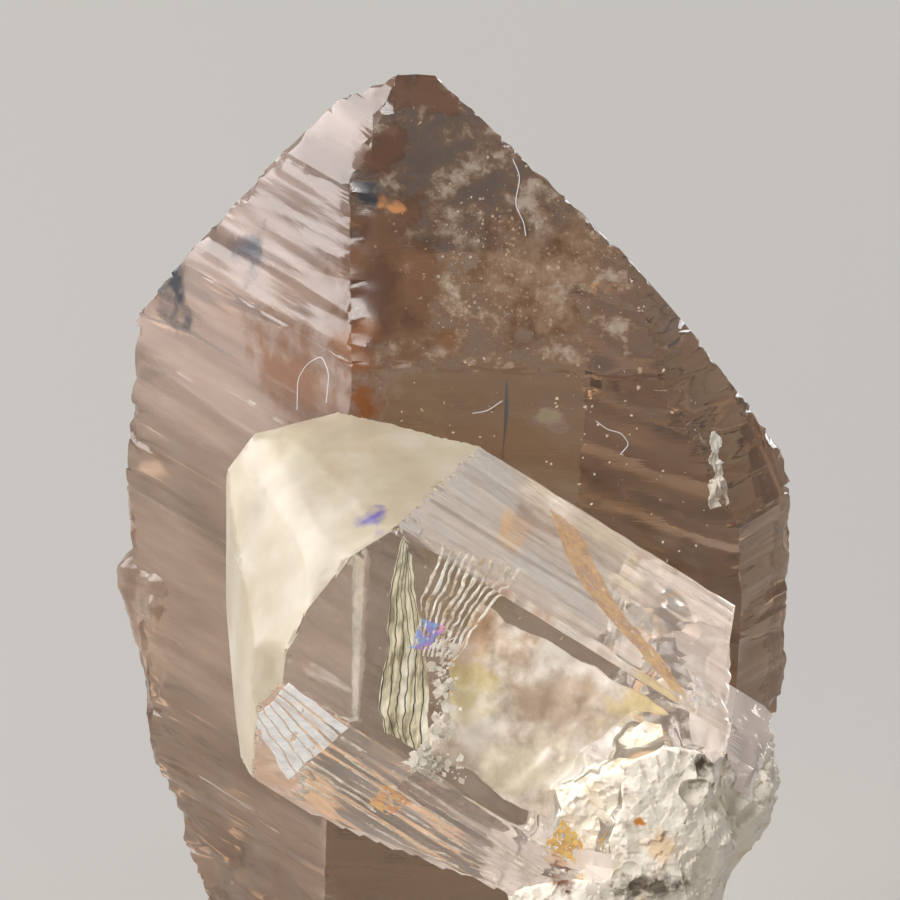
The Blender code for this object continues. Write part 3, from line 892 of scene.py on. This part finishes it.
class Paint:
    """Short names for building one material's nodes. Places are in millimetres in the part's space."""

    def __init__(self, name):
        self.material = bpy.data.materials.new(name)
        self.material.use_nodes = True
        self.tree = self.material.node_tree
        self.shader = self.tree.nodes["Principled BSDF"]
        self.output = self.tree.nodes["Material Output"]
        coordinates = self.tree.nodes.new("ShaderNodeTexCoord").outputs["Object"]
        self.place = self.vector("SCALE", coordinates, Scale=1 / MM)

    def put(self, socket, value):
        """Link a node output to a socket, or set the socket's own value."""
        if isinstance(value, bpy.types.NodeSocket):
            self.tree.links.new(value, socket)
        else:
            socket.default_value = value

    def set(self, **values):
        """Set or link the shader's own sockets; an underscore in a name stands for a space."""
        for name, value in values.items():
            self.put(self.shader.inputs[name.replace("_", " ")], value)

    def vector(self, operation, a, b=None, c=None, **others):
        """One vector operation on values or node outputs."""
        node = self.tree.nodes.new("ShaderNodeVectorMath")
        node.operation = operation
        self.put(node.inputs[0], a)
        if b is not None:
            self.put(node.inputs[1], b)
        if c is not None:
            self.put(node.inputs[2], c)
        for name, value in others.items():
            self.put(node.inputs[name], value)
        return node.outputs["Value" if operation in ("DOT_PRODUCT", "LENGTH") else "Vector"]

    def math(self, operation, a, b=0.0, c=0.0, clamp=False):
        """One number operation on values or node outputs."""
        node = self.tree.nodes.new("ShaderNodeMath")
        node.operation = operation
        node.use_clamp = clamp
        self.put(node.inputs[0], a)
        self.put(node.inputs[1], b)
        self.put(node.inputs[2], c)
        return node.outputs[0]

    def stretched(self, axes, sizes):
        """Places measured along three directions, each divided by a size: noise on them is drawn out."""
        node = self.tree.nodes.new("ShaderNodeCombineXYZ")
        for k, (axis, size) in enumerate(zip(axes, sizes)):
            self.put(node.inputs[k], self.vector("DOT_PRODUCT", self.place, Vector(axis) / size))
        return node.outputs[0]

    def noise(self, size, detail, roughness, place=None, shift=0.0):
        """Cloudy value from 0 to 1 with features of about the given size."""
        node = self.tree.nodes.new("ShaderNodeTexNoise")
        node.inputs["Scale"].default_value = 1.0
        node.inputs["Detail"].default_value = detail
        node.inputs["Roughness"].default_value = roughness
        moved = self.vector("SCALE", self.place if place is None else place, Scale=1.0 / size)
        self.put(node.inputs["Vector"], self.vector("ADD", moved, (shift, 1.7 * shift, -shift)))
        return node.outputs["Fac"]

    def cells(self, size):
        """Distance value of a cell pattern with cells of about the given size."""
        node = self.tree.nodes.new("ShaderNodeTexVoronoi")
        node.inputs["Scale"].default_value = 1.0 / size
        self.put(node.inputs["Vector"], self.place)
        return node.outputs["Distance"]

    def step(self, value, low, high, start=0.0, end=1.0):
        """Smooth change from start to end while the value goes from low to high."""
        node = self.tree.nodes.new("ShaderNodeMapRange")
        node.interpolation_type = "SMOOTHSTEP"
        self.put(node.inputs["Value"], value)
        for name, number in (("From Min", low), ("From Max", high), ("To Min", start), ("To Max", end)):
            self.put(node.inputs[name], number)
        return node.outputs["Result"]

    def wobbly(self, size, amount):
        """Places pushed about by noise, so that patches laid on them get uneven outlines."""
        node = self.tree.nodes.new("ShaderNodeTexNoise")
        node.inputs["Scale"].default_value = 1.0 / size
        node.inputs["Detail"].default_value = 2.0
        self.put(node.inputs["Vector"], self.place)
        centred = self.vector("SUBTRACT", node.outputs["Color"], (0.5, 0.5, 0.5))
        return self.vector("ADD", self.place, self.vector("SCALE", centred, Scale=amount))

    def uneven(self, size, shift=0.0):
        """Noise around 0 that makes the edges of spots ragged."""
        return self.math("MULTIPLY_ADD", self.noise(size, 3.0, 0.65, shift=shift), RAGGED, c=-0.5 * RAGGED)

    def spot(self, centre, radii, uneven, place=None):
        """1 in the middle of an egg shape, falling to 0 at a ragged edge."""
        place = self.place if place is None else place
        scale = [1.0 / radius for radius in radii]
        shift = [-middle / radius for middle, radius in zip(centre, radii)]
        away = self.vector("LENGTH", self.vector("MULTIPLY_ADD", place, scale, shift))
        return self.step(self.math("ADD", away, uneven), 0.35, 1.15, 1.0, 0.0)

    def attribute(self, name):
        """Number stored on the mesh faces."""
        node = self.tree.nodes.new("ShaderNodeAttribute")
        node.attribute_name = name
        return node.outputs["Fac"]

    def mix(self, factor, a, b):
        """Blend two colours."""
        node = self.tree.nodes.new("ShaderNodeMix")
        node.data_type = "RGBA"
        self.put(node.inputs[0], factor)
        self.put(node.inputs[6], a)
        self.put(node.inputs[7], b)
        return node.outputs[2]

    def times(self, *values):
        """Product of some values."""
        result = values[0]
        for value in values[1:]:
            result = self.math("MULTIPLY", result, value)
        return result

    def most(self, *values):
        """Largest of some values."""
        result = values[0]
        for value in values[1:]:
            result = self.math("MAXIMUM", result, value)
        return result

    def ramp(self, factor, *stops):
        """Colour that runs through stops of (place, colour)."""
        node = self.tree.nodes.new("ShaderNodeValToRGB")
        elements = node.color_ramp.elements
        while len(elements) < len(stops):
            elements.new(0.5)
        for element, (place, colour) in zip(elements, stops):
            element.position = place
            element.color = colour
        self.put(node.inputs[0], factor)
        return node.outputs["Color"]

    def bump(self, height, distance, strength=1.0):
        """Fine relief; the distance is the height of the relief in millimetres."""
        node = self.tree.nodes.new("ShaderNodeBump")
        node.inputs["Strength"].default_value = strength
        node.inputs["Distance"].default_value = distance * MM
        self.put(node.inputs["Height"], height)
        self.put(self.shader.inputs["Normal"], node.outputs["Normal"])

    def absorb(self, colour, density):
        """Tint of the inside: light is taken up evenly on its way through."""
        node = self.tree.nodes.new("ShaderNodeVolumeAbsorption")
        node.inputs["Color"].default_value = (*colour, 1.0)
        node.inputs["Density"].default_value = density
        self.tree.links.new(node.outputs["Volume"], self.output.inputs["Volume"])


# Patches in the quartz: middle and radii in millimetres, colour, and how much they hide what is behind
QUARTZ_PATCHES = [
    ((-6.5, -5.0, 24.6), (3.2, 3.2, 2.0), srgb(176, 126, 96), 0.34),
    ((-3.0, -6.0, 28.6), (2.4, 4.0, 3.8), srgb(158, 118, 90), 0.38),
    ((-3.2, -6.6, 28.2), (1.3, 2.0, 1.6), srgb(112, 80, 64), 0.45),
    ((-3.9, -7.6, 26.9), (1.2, 1.8, 1.2), srgb(168, 112, 74), 0.5),
    ((-0.9, -7.2, 27.0), (0.8, 1.0, 0.9), srgb(166, 122, 88), 0.3),
    ((-3.6, -4.2, 31.1), (1.3, 1.3, 0.6), srgb(40, 44, 50), 0.85),
    ((-2.75, -4.4, 30.85), (0.42, 0.6, 0.38), srgb(214, 146, 90), 0.8),
    ((-3.3, -3.0, 32.4), (1.2, 1.6, 0.9), srgb(150, 108, 88), 0.35),
    ((-1.8, -1.8, 34.0), (2.2, 1.6, 1.0), srgb(168, 128, 104), 0.35),
    ((-10.8, 1.5, 25.0), (0.8, 2.2, 1.5), srgb(48, 50, 60), 0.85),
    ((-7.95, -1.2, 27.6), (1.1, 1.1, 0.8), srgb(104, 102, 112), 0.6),
    ((-3.5, -8.0, 25.0), (0.75, 0.8, 1.5), srgb(150, 88, 36), 0.6),
    ((3.1, -7.8, 24.5), (0.55, 0.5, 0.6), srgb(166, 154, 124), 0.7),
]
# Sizes of the quartz's markings in millimetres
STREAK_SIZE = 0.34
BAND_SIZE = 1.7
CLOUD_SIZE = 3.2
SPECK_SIZE = 0.22
VEIN_SIZE = 1.3
# How much they hide what is behind them: from and to, or at most
SATIN_AND_SHEEN_HAZE = (0.25, 0.6)
VEIN_HAZE = (0.1, 0.44)
PALE_HAZE = 0.42
FROST_HAZE = 0.85
BROKEN_HAZE = 0.7
# painted sheen: the satin colours are lighter higher up, where the light falls on them
SHEEN_HEIGHTS = (16.0, 27.0)   # the satin turns from dark to light between these heights
# Paler zone of the point face
PALE_MIDDLE = (2.2, -6.0, 29.6)
PALE_RADII = (3.2, 3.0, 3.6)
QUARTZ_TINT = (0.56, 0.38, 0.12)   # light left after a way through, and how fast it is taken up per metre
QUARTZ_TINT_DENSITY = 112.0
QUARTZ_IOR = 1.544
TOPAZ_TINT = (0.88, 0.82, 0.66)
TOPAZ_TINT_DENSITY = 10.0
TOPAZ_IOR = 1.62
FELDSPAR_IOR = 1.53


def add_patches(paint, patches, colour, haze, ragged):
    """Lay a table of coloured patches over a colour and a haze."""
    wobbly = paint.wobbly(1.6, 2.6)
    for centre, radii, patch_colour, patch_haze in patches:
        mask = paint.spot(centre, radii, ragged, wobbly)
        colour = paint.mix(mask, colour, patch_colour)
        haze = paint.most(haze, paint.times(mask, patch_haze))
    return colour, haze


def satin_and_sheen_look(paint, level, streaks):
    """Colour and haze of the ribbed satin sides: hazy satin with a painted sheen, lighter towards the top
    and along the light streaks, darker towards the foot.
    """
    bands = paint.noise(BAND_SIZE, 2.0, 0.55, place=level, shift=7.0)
    height = paint.vector("DOT_PRODUCT", paint.place, (0, 0, 1))
    high = paint.step(height, *SHEEN_HEIGHTS)
    # painted sheen: the satin colours are pale high up and along the streaks and darker lower down,
    # standing in for light on the face
    dark = paint.mix(high, srgb(120, 92, 72), srgb(182, 146, 126))
    light = paint.mix(high, srgb(206, 180, 158), srgb(240, 222, 214))
    lightness = paint.math("MULTIPLY", paint.math("ADD", streaks, bands), 0.5)
    haze = paint.times(paint.attribute("satin"), paint.step(bands, 0.3, 0.7, *SATIN_AND_SHEEN_HAZE))
    return paint.mix(lightness, dark, light), haze


def point_look(paint, ragged):
    """Colour and haze of the point face: brown with pale veins and specks of frost."""
    point = paint.attribute("point")
    clouds = paint.noise(CLOUD_SIZE, 3.0, 0.62, shift=3.0)
    specks = paint.noise(SPECK_SIZE, 2.0, 0.7, shift=9.0)
    veins = paint.noise(VEIN_SIZE, 5.0, 0.7, shift=15.0)
    colour = paint.ramp(veins, (0.35, srgb(146, 110, 82)), (0.52, srgb(190, 160, 134)),
                        (0.68, srgb(232, 216, 198)))
    frost = paint.times(paint.step(specks, 0.6, 0.7), paint.step(clouds, 0.5, 0.65), FROST_HAZE)
    pale = paint.times(paint.spot(PALE_MIDDLE, PALE_RADII, ragged), PALE_HAZE)
    haze = paint.most(frost, pale, paint.step(veins, 0.42, 0.66, *VEIN_HAZE))
    return colour, paint.times(point, haze)


def quartz_material():
    """Smoky quartz: see-through brown, ribbed satin with a painted sheen on the left, hazy and rust-stained
    at the point.
    """
    paint = Paint("smoky_quartz")
    level = paint.stretched(((1, 0, 0), (0, 1, 0), (0, 0, 1)), (9.0, 9.0, 1.0))
    streaks = paint.noise(STREAK_SIZE, 3.0, 0.7, place=level)
    ragged = paint.uneven(0.9, shift=1.0)
    satin_and_sheen_colour, satin_and_sheen_haze = satin_and_sheen_look(paint, level, streaks)
    point_colour, point_haze = point_look(paint, ragged)
    colour = paint.mix(paint.attribute("point"), satin_and_sheen_colour, point_colour)
    haze = paint.most(satin_and_sheen_haze, point_haze, paint.times(paint.attribute("broken"), BROKEN_HAZE))
    colour, haze = add_patches(paint, QUARTZ_PATCHES, colour, haze, ragged)
    paint.set(Base_Color=paint.mix(paint.step(haze, 0.0, 0.25), srgb(248, 244, 238), colour),
              Roughness=paint.step(haze, 0.05, 0.7, 0.03, 0.3),
              Transmission_Weight=paint.math("SUBTRACT", 1.0, haze, clamp=True),
              IOR=QUARTZ_IOR)
    paint.bump(streaks, 0.012, 0.6)
    paint.absorb(QUARTZ_TINT, QUARTZ_TINT_DENSITY)
    return paint.material


# Violet-blue mark on the free end, in the same form as the quartz patches
TOPAZ_PATCHES = [
    ((-3.5, -15.9, 23.15), (1.3, 0.8, 0.5), srgb(100, 92, 178), 0.6),
]


def topaz_material():
    """Topaz: clear, ribbed along its length, with a frosted cream end and milky lower side."""
    paint = Paint("topaz")
    centre, down, out, along = topaz_frame()
    lengthwise = paint.stretched((down, out, along), (1.0, 1.0, 10.0))
    ribs = paint.noise(0.26, 4.0, 0.65, place=lengthwise)
    broad = paint.noise(1.1, 3.0, 0.6, place=lengthwise, shift=4.0)
    clouds = paint.noise(2.6, 4.0, 0.6, shift=8.0)
    cap = paint.attribute("cap")
    upper = paint.attribute("upper")
    lower = paint.attribute("lower")
    upper_haze = paint.times(upper, paint.step(ribs, 0.35, 0.75, 0.08, 0.3))
    lower_haze = paint.times(lower, paint.step(broad, 0.4, 0.7, 0.04, 0.45))
    cap_haze = paint.times(cap, paint.step(clouds, 0.3, 0.7, 0.46, 0.62))
    haze = paint.most(cap_haze, upper_haze, lower_haze, paint.times(paint.attribute("broken"), BROKEN_HAZE))
    cream = paint.ramp(clouds, (0.3, srgb(194, 179, 150)), (0.5, srgb(210, 197, 170)),
                       (0.7, srgb(224, 215, 198)))
    colour = paint.mix(cap, srgb(230, 218, 210), cream)
    colour, haze = add_patches(paint, TOPAZ_PATCHES, colour, haze, paint.uneven(0.9))
    paint.set(Base_Color=paint.mix(paint.step(haze, 0.0, 0.2), srgb(252, 250, 247), colour),
              Roughness=paint.step(cap, 0.0, 1.0, 0.04, 0.3),
              Transmission_Weight=paint.math("SUBTRACT", 1.0, haze, clamp=True),
              IOR=TOPAZ_IOR)
    paint.bump(ribs, 0.008, 0.5)
    paint.absorb(TOPAZ_TINT, TOPAZ_TINT_DENSITY)
    return paint.material


# Stains and dark hollows of the feldspar: middle and radii in millimetres, and colour
MATRIX_PATCHES = [
    ((4.2, -14.9, 11.2), (0.8, 1.5, 1.0), srgb(222, 172, 74)),
    ((4.4, -15.0, 10.2), (0.5, 1.2, 0.5), srgb(120, 72, 36)),
    ((6.8, -15.8, 12.8), (0.16, 1.0, 0.2), srgb(206, 130, 50)),
    ((7.7, -15.9, 12.0), (0.8, 1.2, 0.7), srgb(232, 204, 168)),
    ((7.4, -16.0, 10.4), (1.4, 1.6, 0.6), srgb(116, 102, 86)),
    ((9.2, -14.8, 14.6), (0.75, 0.8, 0.42), srgb(92, 76, 50)),
    ((8.8, -15.6, 14.0), (0.5, 0.7, 0.34), srgb(104, 86, 58)),
    ((9.8, -13.4, 15.2), (1.3, 1.2, 0.6), srgb(226, 206, 160)),
]


def matrix_material():
    """Feldspar: sugary cream white with grey hollows and yellow-brown iron stains."""
    paint = Paint("feldspar_matrix")
    grains = paint.cells(0.45)
    fine = paint.noise(0.3, 5.0, 0.7)
    stains = paint.noise(1.6, 5.0, 0.65, shift=5.0)
    grey = paint.noise(1.9, 4.0, 0.6, shift=11.0)
    white = paint.mix(fine, srgb(224, 208, 186), srgb(255, 250, 240))
    stained = paint.mix(paint.step(stains, 0.54, 0.74), white, srgb(224, 198, 150))
    colour = paint.mix(paint.step(grey, 0.55, 0.75), stained, srgb(184, 170, 146))
    wobbly = paint.wobbly(0.7, 0.9)
    ragged = paint.uneven(0.3)
    for centre, radii, patch_colour in MATRIX_PATCHES:
        colour = paint.mix(paint.spot(centre, radii, ragged, wobbly), colour, patch_colour)
    paint.set(Base_Color=colour, Roughness=0.42, IOR=FELDSPAR_IOR)
    paint.bump(paint.math("ADD", grains, fine), 0.1, 0.7)
    return paint.material


def veil_material(name, colours, size, alpha, roughness=0.3, drawn_out=None):
    """Sheet inside the topaz: its colours in clouds or, drawn out along a direction, in stripes."""
    paint = Paint(name)
    place = paint.place
    if drawn_out:
        centre, down, out, along = topaz_frame()
        run = (drawn_out[0] * down + drawn_out[1] * along).normalized()
        place = paint.stretched((run, out, run.cross(out)), (6.0, 1.0, 1.0))
    cloudy = paint.noise(size, 4.0, 0.62, place=place)
    places = [0.36 + 0.28 * k / (len(colours) - 1) for k in range(len(colours))]
    colour = paint.ramp(cloudy, *[(place, srgb(*shade)) for place, shade in zip(places, colours)])
    paint.set(Base_Color=colour, Roughness=roughness, Alpha=paint.step(cloudy, 0.3, 0.62, *alpha))
    return paint.material


def cloud_material():
    """Cloudy fracture: pale veils with rust and olive stains near the fan."""
    paint = Paint("cloud")
    ragged = paint.uneven(0.8)
    veil = paint.noise(1.7, 5.0, 0.6, shift=2.0)
    wobbly = paint.wobbly(1.0, 2.4)
    colour = paint.mix(paint.step(veil, 0.35, 0.65), srgb(198, 178, 158), srgb(246, 238, 228))
    for centre, radii, stain in CLOUD_STAINS:
        mask = paint.spot(tuple(in_topaz(*centre, 2.0)), radii, ragged, wobbly)
        colour = paint.mix(paint.times(mask, 0.75), colour, stain)
    paint.set(Base_Color=colour, Roughness=0.35, Alpha=paint.step(veil, 0.3, 0.62, 0.45, 0.88))
    return paint.material


# Stains on the cloudy fracture: (down, along), radii in millimetres, colour
CLOUD_STAINS = [
    ((-1.8, 3.4), (2.4, 1.9, 1.5), srgb(186, 142, 98)),
    ((-0.2, 2.6), (1.5, 1.5, 1.3), srgb(214, 196, 132)),
    ((-3.0, -3.6), (2.0, 1.5, 0.7), srgb(224, 202, 140)),
    ((1.2, -1.0), (2.2, 1.6, 1.2), srgb(220, 208, 180)),
    ((-1.4, -0.6), (1.8, 1.6, 1.1), srgb(190, 164, 140)),
]

# Colours of the sheets from dark to light, size of the clouds in them, how much they hide, and the
# direction (down, along) that the clouds are drawn out in
VEIL_LOOKS = {
    "crack": dict(colours=[(166, 154, 120), (234, 224, 192), (252, 246, 228)], size=0.34, alpha=(0.6, 0.95),
                  drawn_out=(0.85, -0.53)),
    "crack_line": dict(colours=[(44, 42, 42), (92, 84, 72)], size=0.5, alpha=(0.75, 1.0)),
    "fan": dict(colours=[(196, 164, 120), (232, 222, 204), (255, 252, 246)], size=0.5, alpha=(0.35, 0.9)),
    "film": dict(colours=[(120, 180, 226), (150, 130, 206), (226, 160, 190)], size=0.7, alpha=(0.5, 0.8)),
    # pure white for the painted highlight under the lower side
    "bright": dict(colours=[(250, 249, 247), (255, 255, 255)], size=0.5, alpha=(0.75, 1.0), roughness=0.3),
    "streak": dict(colours=[(206, 190, 164), (250, 244, 232)], size=0.5, alpha=(0.3, 0.8)),
    "yellow_spot": dict(colours=[(226, 150, 60), (250, 206, 120)], size=0.4, alpha=(0.6, 0.95)),
    "brown_wedge": dict(colours=[(136, 106, 84), (180, 150, 126)], size=0.7, alpha=(0.4, 0.8)),
    "amber": dict(colours=[(214, 160, 96), (238, 204, 146)], size=0.6, alpha=(0.35, 0.85), roughness=0.5),
    "root_yellow": dict(colours=[(206, 150, 50), (246, 214, 130)], size=0.5, alpha=(0.5, 0.9)),
    "root_brown": dict(colours=[(96, 58, 30), (176, 112, 50)], size=0.4, alpha=(0.7, 1.0)),
    "root_frost": dict(colours=[(230, 222, 214), (255, 253, 250)], size=0.3, alpha=(0.5, 0.95)),
}


def small_material(name, dark, light, size, roughness):
    """Plain pieces such as flakes and fibres: a cloudy mix of two colours."""
    paint = Paint(name)
    cloudy = paint.noise(size, 3.0, 0.6)
    paint.set(Base_Color=paint.mix(cloudy, srgb(*dark), srgb(*light)), Roughness=roughness)
    return paint.material


STANDS_OUT = 0.15            # mesh faces further out than this belong to none of the planes
TURN_WEIGHT = 0.8            # how much the direction of a mesh face counts beside its place


def nearest_plane(point, normal, planes):
    """Name of the crystal face that a mesh face belongs to; side growth stands out past the planes."""
    if max(direction.dot(point) - distance for name, direction, distance in planes) > STANDS_OUT:
        return "side_growth"

    def misfit(plane):
        name, direction, distance = plane
        return abs(direction.dot(point) - distance) + TURN_WEIGHT * (1.0 - direction.dot(normal))

    return min(planes, key=misfit)[0]


def mark_owners(made, planes, tables):
    """Store for each face the values that the tables give to the crystal face it belongs to."""
    owners = [nearest_plane(face.center / MM, face.normal, planes) for face in made.data.polygons]
    for name, table in tables.items():
        layer = made.data.attributes.new(name, "FLOAT", "FACE")
        layer.data.foreach_set("value", [table.get(owner, 0.0) for owner in owners])


SHARP_ANGLE = 22.0           # steeper turns than this between mesh faces stay sharp


def smooth(made):
    """Soft shading inside a face, sharp at its edges."""
    made.data.shade_smooth()
    made.data.set_sharp_from_angle(angle=math.radians(SHARP_ANGLE))


# How satiny each quartz face is, from clear to 1; the hazy satin also carries a painted sheen
SATIN_AND_SHEEN = {
    "side_growth": 1.0, "prism_left": 0.9, "steep_left": 1.0, "point_left": 1.0, "left_edge": 1.0,
    "prism_back_left": 0.8, "point_back_left": 0.8, "prism_back": 0.7, "prism_back_right": 0.6,
    "steep_right": 0.25, "mid_right": 0.1, "prism_right": 0.25, "point_back": 0.6, "point_back_right": 0.6,
    "prism_front": 0.06,
}
QUARTZ_MARKS = {
    "satin": SATIN_AND_SHEEN,
    "point": {"point_front": 1.0, "point_right": 0.5},
    "broken": {"flank_left": 1.0, "flank_right": 1.0, "foot": 1.0},
}
# In the topaz, the stub at the root counts as side growth
TOPAZ_MARKS = {
    "cap": {"cap": 1.0, "cap_side": 1.0},
    "upper": {"upper": 1.0, "top": 0.6},
    "lower": {"lower": 1.0, "underside": 0.8, "back": 0.5},
    "broken": {"root": 1.0, "side_growth": 0.6},
}


def dress(made, material, node=None):
    """Give a piece its material, hide the CAD part that it replaces, and hang it on the root body."""
    made.data.materials.clear()
    made.data.materials.append(material)
    if node:
        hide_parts(node)
    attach(made, "root")


def make_pieces():
    """All the pieces with their materials."""
    quartz = to_object(make_quartz(), "quartz")
    combine(quartz, to_object(make_bump(), "bump"), "UNION")
    topaz = to_object(make_prism(topaz_planes()), "topaz_crystal")
    combine(topaz, to_object(make_prism(stub_planes()), "stub"), "UNION")
    combine(topaz, to_object(cut_block(quartz_planes(CONTACT)), "room_for_quartz"), "DIFFERENCE")
    combine(topaz, shape_matrix("room_for_matrix", ROOM_DETAIL, CONTACT, False), "DIFFERENCE")
    matrix = make_matrix()
    for made in (quartz, topaz, matrix):
        keep_largest(made)
    for made in (quartz, topaz):
        smooth(made)
        made.visible_shadow = False
    mark_owners(quartz, quartz_planes(), QUARTZ_MARKS)
    mark_owners(topaz, topaz_planes(), TOPAZ_MARKS)
    dress(quartz, quartz_material(), "smoky_quartz")
    dress(topaz, topaz_material(), "topaz")
    dress(matrix, matrix_material(), "feldspar_matrix")
    for name, form in VEILS.items():
        look = VEIL_LOOKS.get(name)
        dress(make_veil(name, **form), veil_material(name, **look) if look else cloud_material())
    bright = small_material("bright_flakes", (226, 214, 196), (255, 252, 244), 0.3, 0.22)
    dress(make_glints(), bright)
    dress(make_frost(), bright)
    dress(make_scars(), bright)
    dark = small_material("dark_slit", (28, 20, 14), (58, 42, 30), 0.3, 0.6)
    dress(make_slit(), dark)
    dust = small_material("dust_fibre", (206, 206, 212), (240, 240, 244), 0.4, 0.7)
    dress(make_fibres(), dust)


# Stage

CAMERA_RISE = 19.5           # angle of the camera above the horizon, in degrees
CAMERA_ROLL = 3.3
VIEW_WIDTH = 31.5 * MM       # what the picture takes in at the crystal
VIEW_CENTRE = Vector((-0.4, 0.0, 20.4)) * MM
CAMERA_AWAY = 0.9
CAMERA_REACH = 10.0
FLOOR_RADIUS = 1.5
FLOOR_SEGMENTS = 96
FLOOR_COLOUR = (196, 193, 189)
SURROUNDINGS = (0.84, 0.82, 0.80, 1.0)
SURROUNDINGS_STRENGTH = 0.38
# Lights: heading, height angle, distance and size in metres, power
LIGHTS = {
    "left_back": (152, 24, 0.3, 0.2, 0.55),
    "right_back": (62, 10, 0.3, 0.16, 0.3),
    "left_front": (-122, 42, 0.35, 0.16, 0.75),
    "low_left": (-150, 4, 0.35, 0.2, 0.2),
}
LIGHT_BOUNCES = 9            # enough for light to find its way through both crystals


def make_camera():
    """Camera at the photo's angle."""
    data = bpy.data.cameras.new("camera")
    data.lens = data.sensor_width * CAMERA_AWAY / VIEW_WIDTH
    data.clip_end = CAMERA_REACH
    camera = bpy.data.objects.new("camera", data)
    bpy.context.scene.collection.objects.link(camera)
    back = heading(-90, CAMERA_RISE)
    camera.location = VIEW_CENTRE + back * CAMERA_AWAY
    camera.rotation_euler = (math.radians(90 - CAMERA_RISE), 0.0, 0.0)
    camera.rotation_euler.rotate_axis("Z", math.radians(CAMERA_ROLL))
    bpy.context.scene.camera = camera


def make_light(name, turn, rise, away, size, power):
    """Square soft light aimed at the crystal from a heading and a height angle."""
    data = bpy.data.lights.new(name, "AREA")
    data.size = size
    data.energy = power
    light = bpy.data.objects.new(name, data)
    bpy.context.scene.collection.objects.link(light)
    direction = heading(turn, rise)
    light.location = VIEW_CENTRE + direction * away
    light.rotation_euler = direction.to_track_quat("Z", "Y").to_euler()


def make_stage():
    """Pale floor, pale surroundings and soft lights."""
    mesh = bmesh.new()
    bmesh.ops.create_circle(mesh, cap_ends=True, segments=FLOOR_SEGMENTS, radius=FLOOR_RADIUS)
    data = bpy.data.meshes.new("floor")
    mesh.to_mesh(data)
    mesh.free()
    floor = bpy.data.objects.new("floor", data)
    bpy.context.scene.collection.objects.link(floor)
    paint = Paint("floor")
    paint.set(Base_Color=srgb(*FLOOR_COLOUR), Roughness=0.7)
    data.materials.append(paint.material)
    world = bpy.data.worlds.new("world")
    world.use_nodes = True
    sky = world.node_tree.nodes["Background"].inputs
    sky["Color"].default_value = SURROUNDINGS
    sky["Strength"].default_value = SURROUNDINGS_STRENGTH
    bpy.context.scene.world = world
    for name, row in LIGHTS.items():
        make_light(name, *row)


make_pieces()
make_stage()
make_camera()
bpy.context.scene.view_settings.view_transform = "Standard"
cycles = bpy.context.scene.cycles
cycles.max_bounces = LIGHT_BOUNCES
cycles.transmission_bounces = LIGHT_BOUNCES
cycles.transparent_max_bounces = LIGHT_BOUNCES - 1
cycles.glossy_bounces = 4
cycles.diffuse_bounces = 2
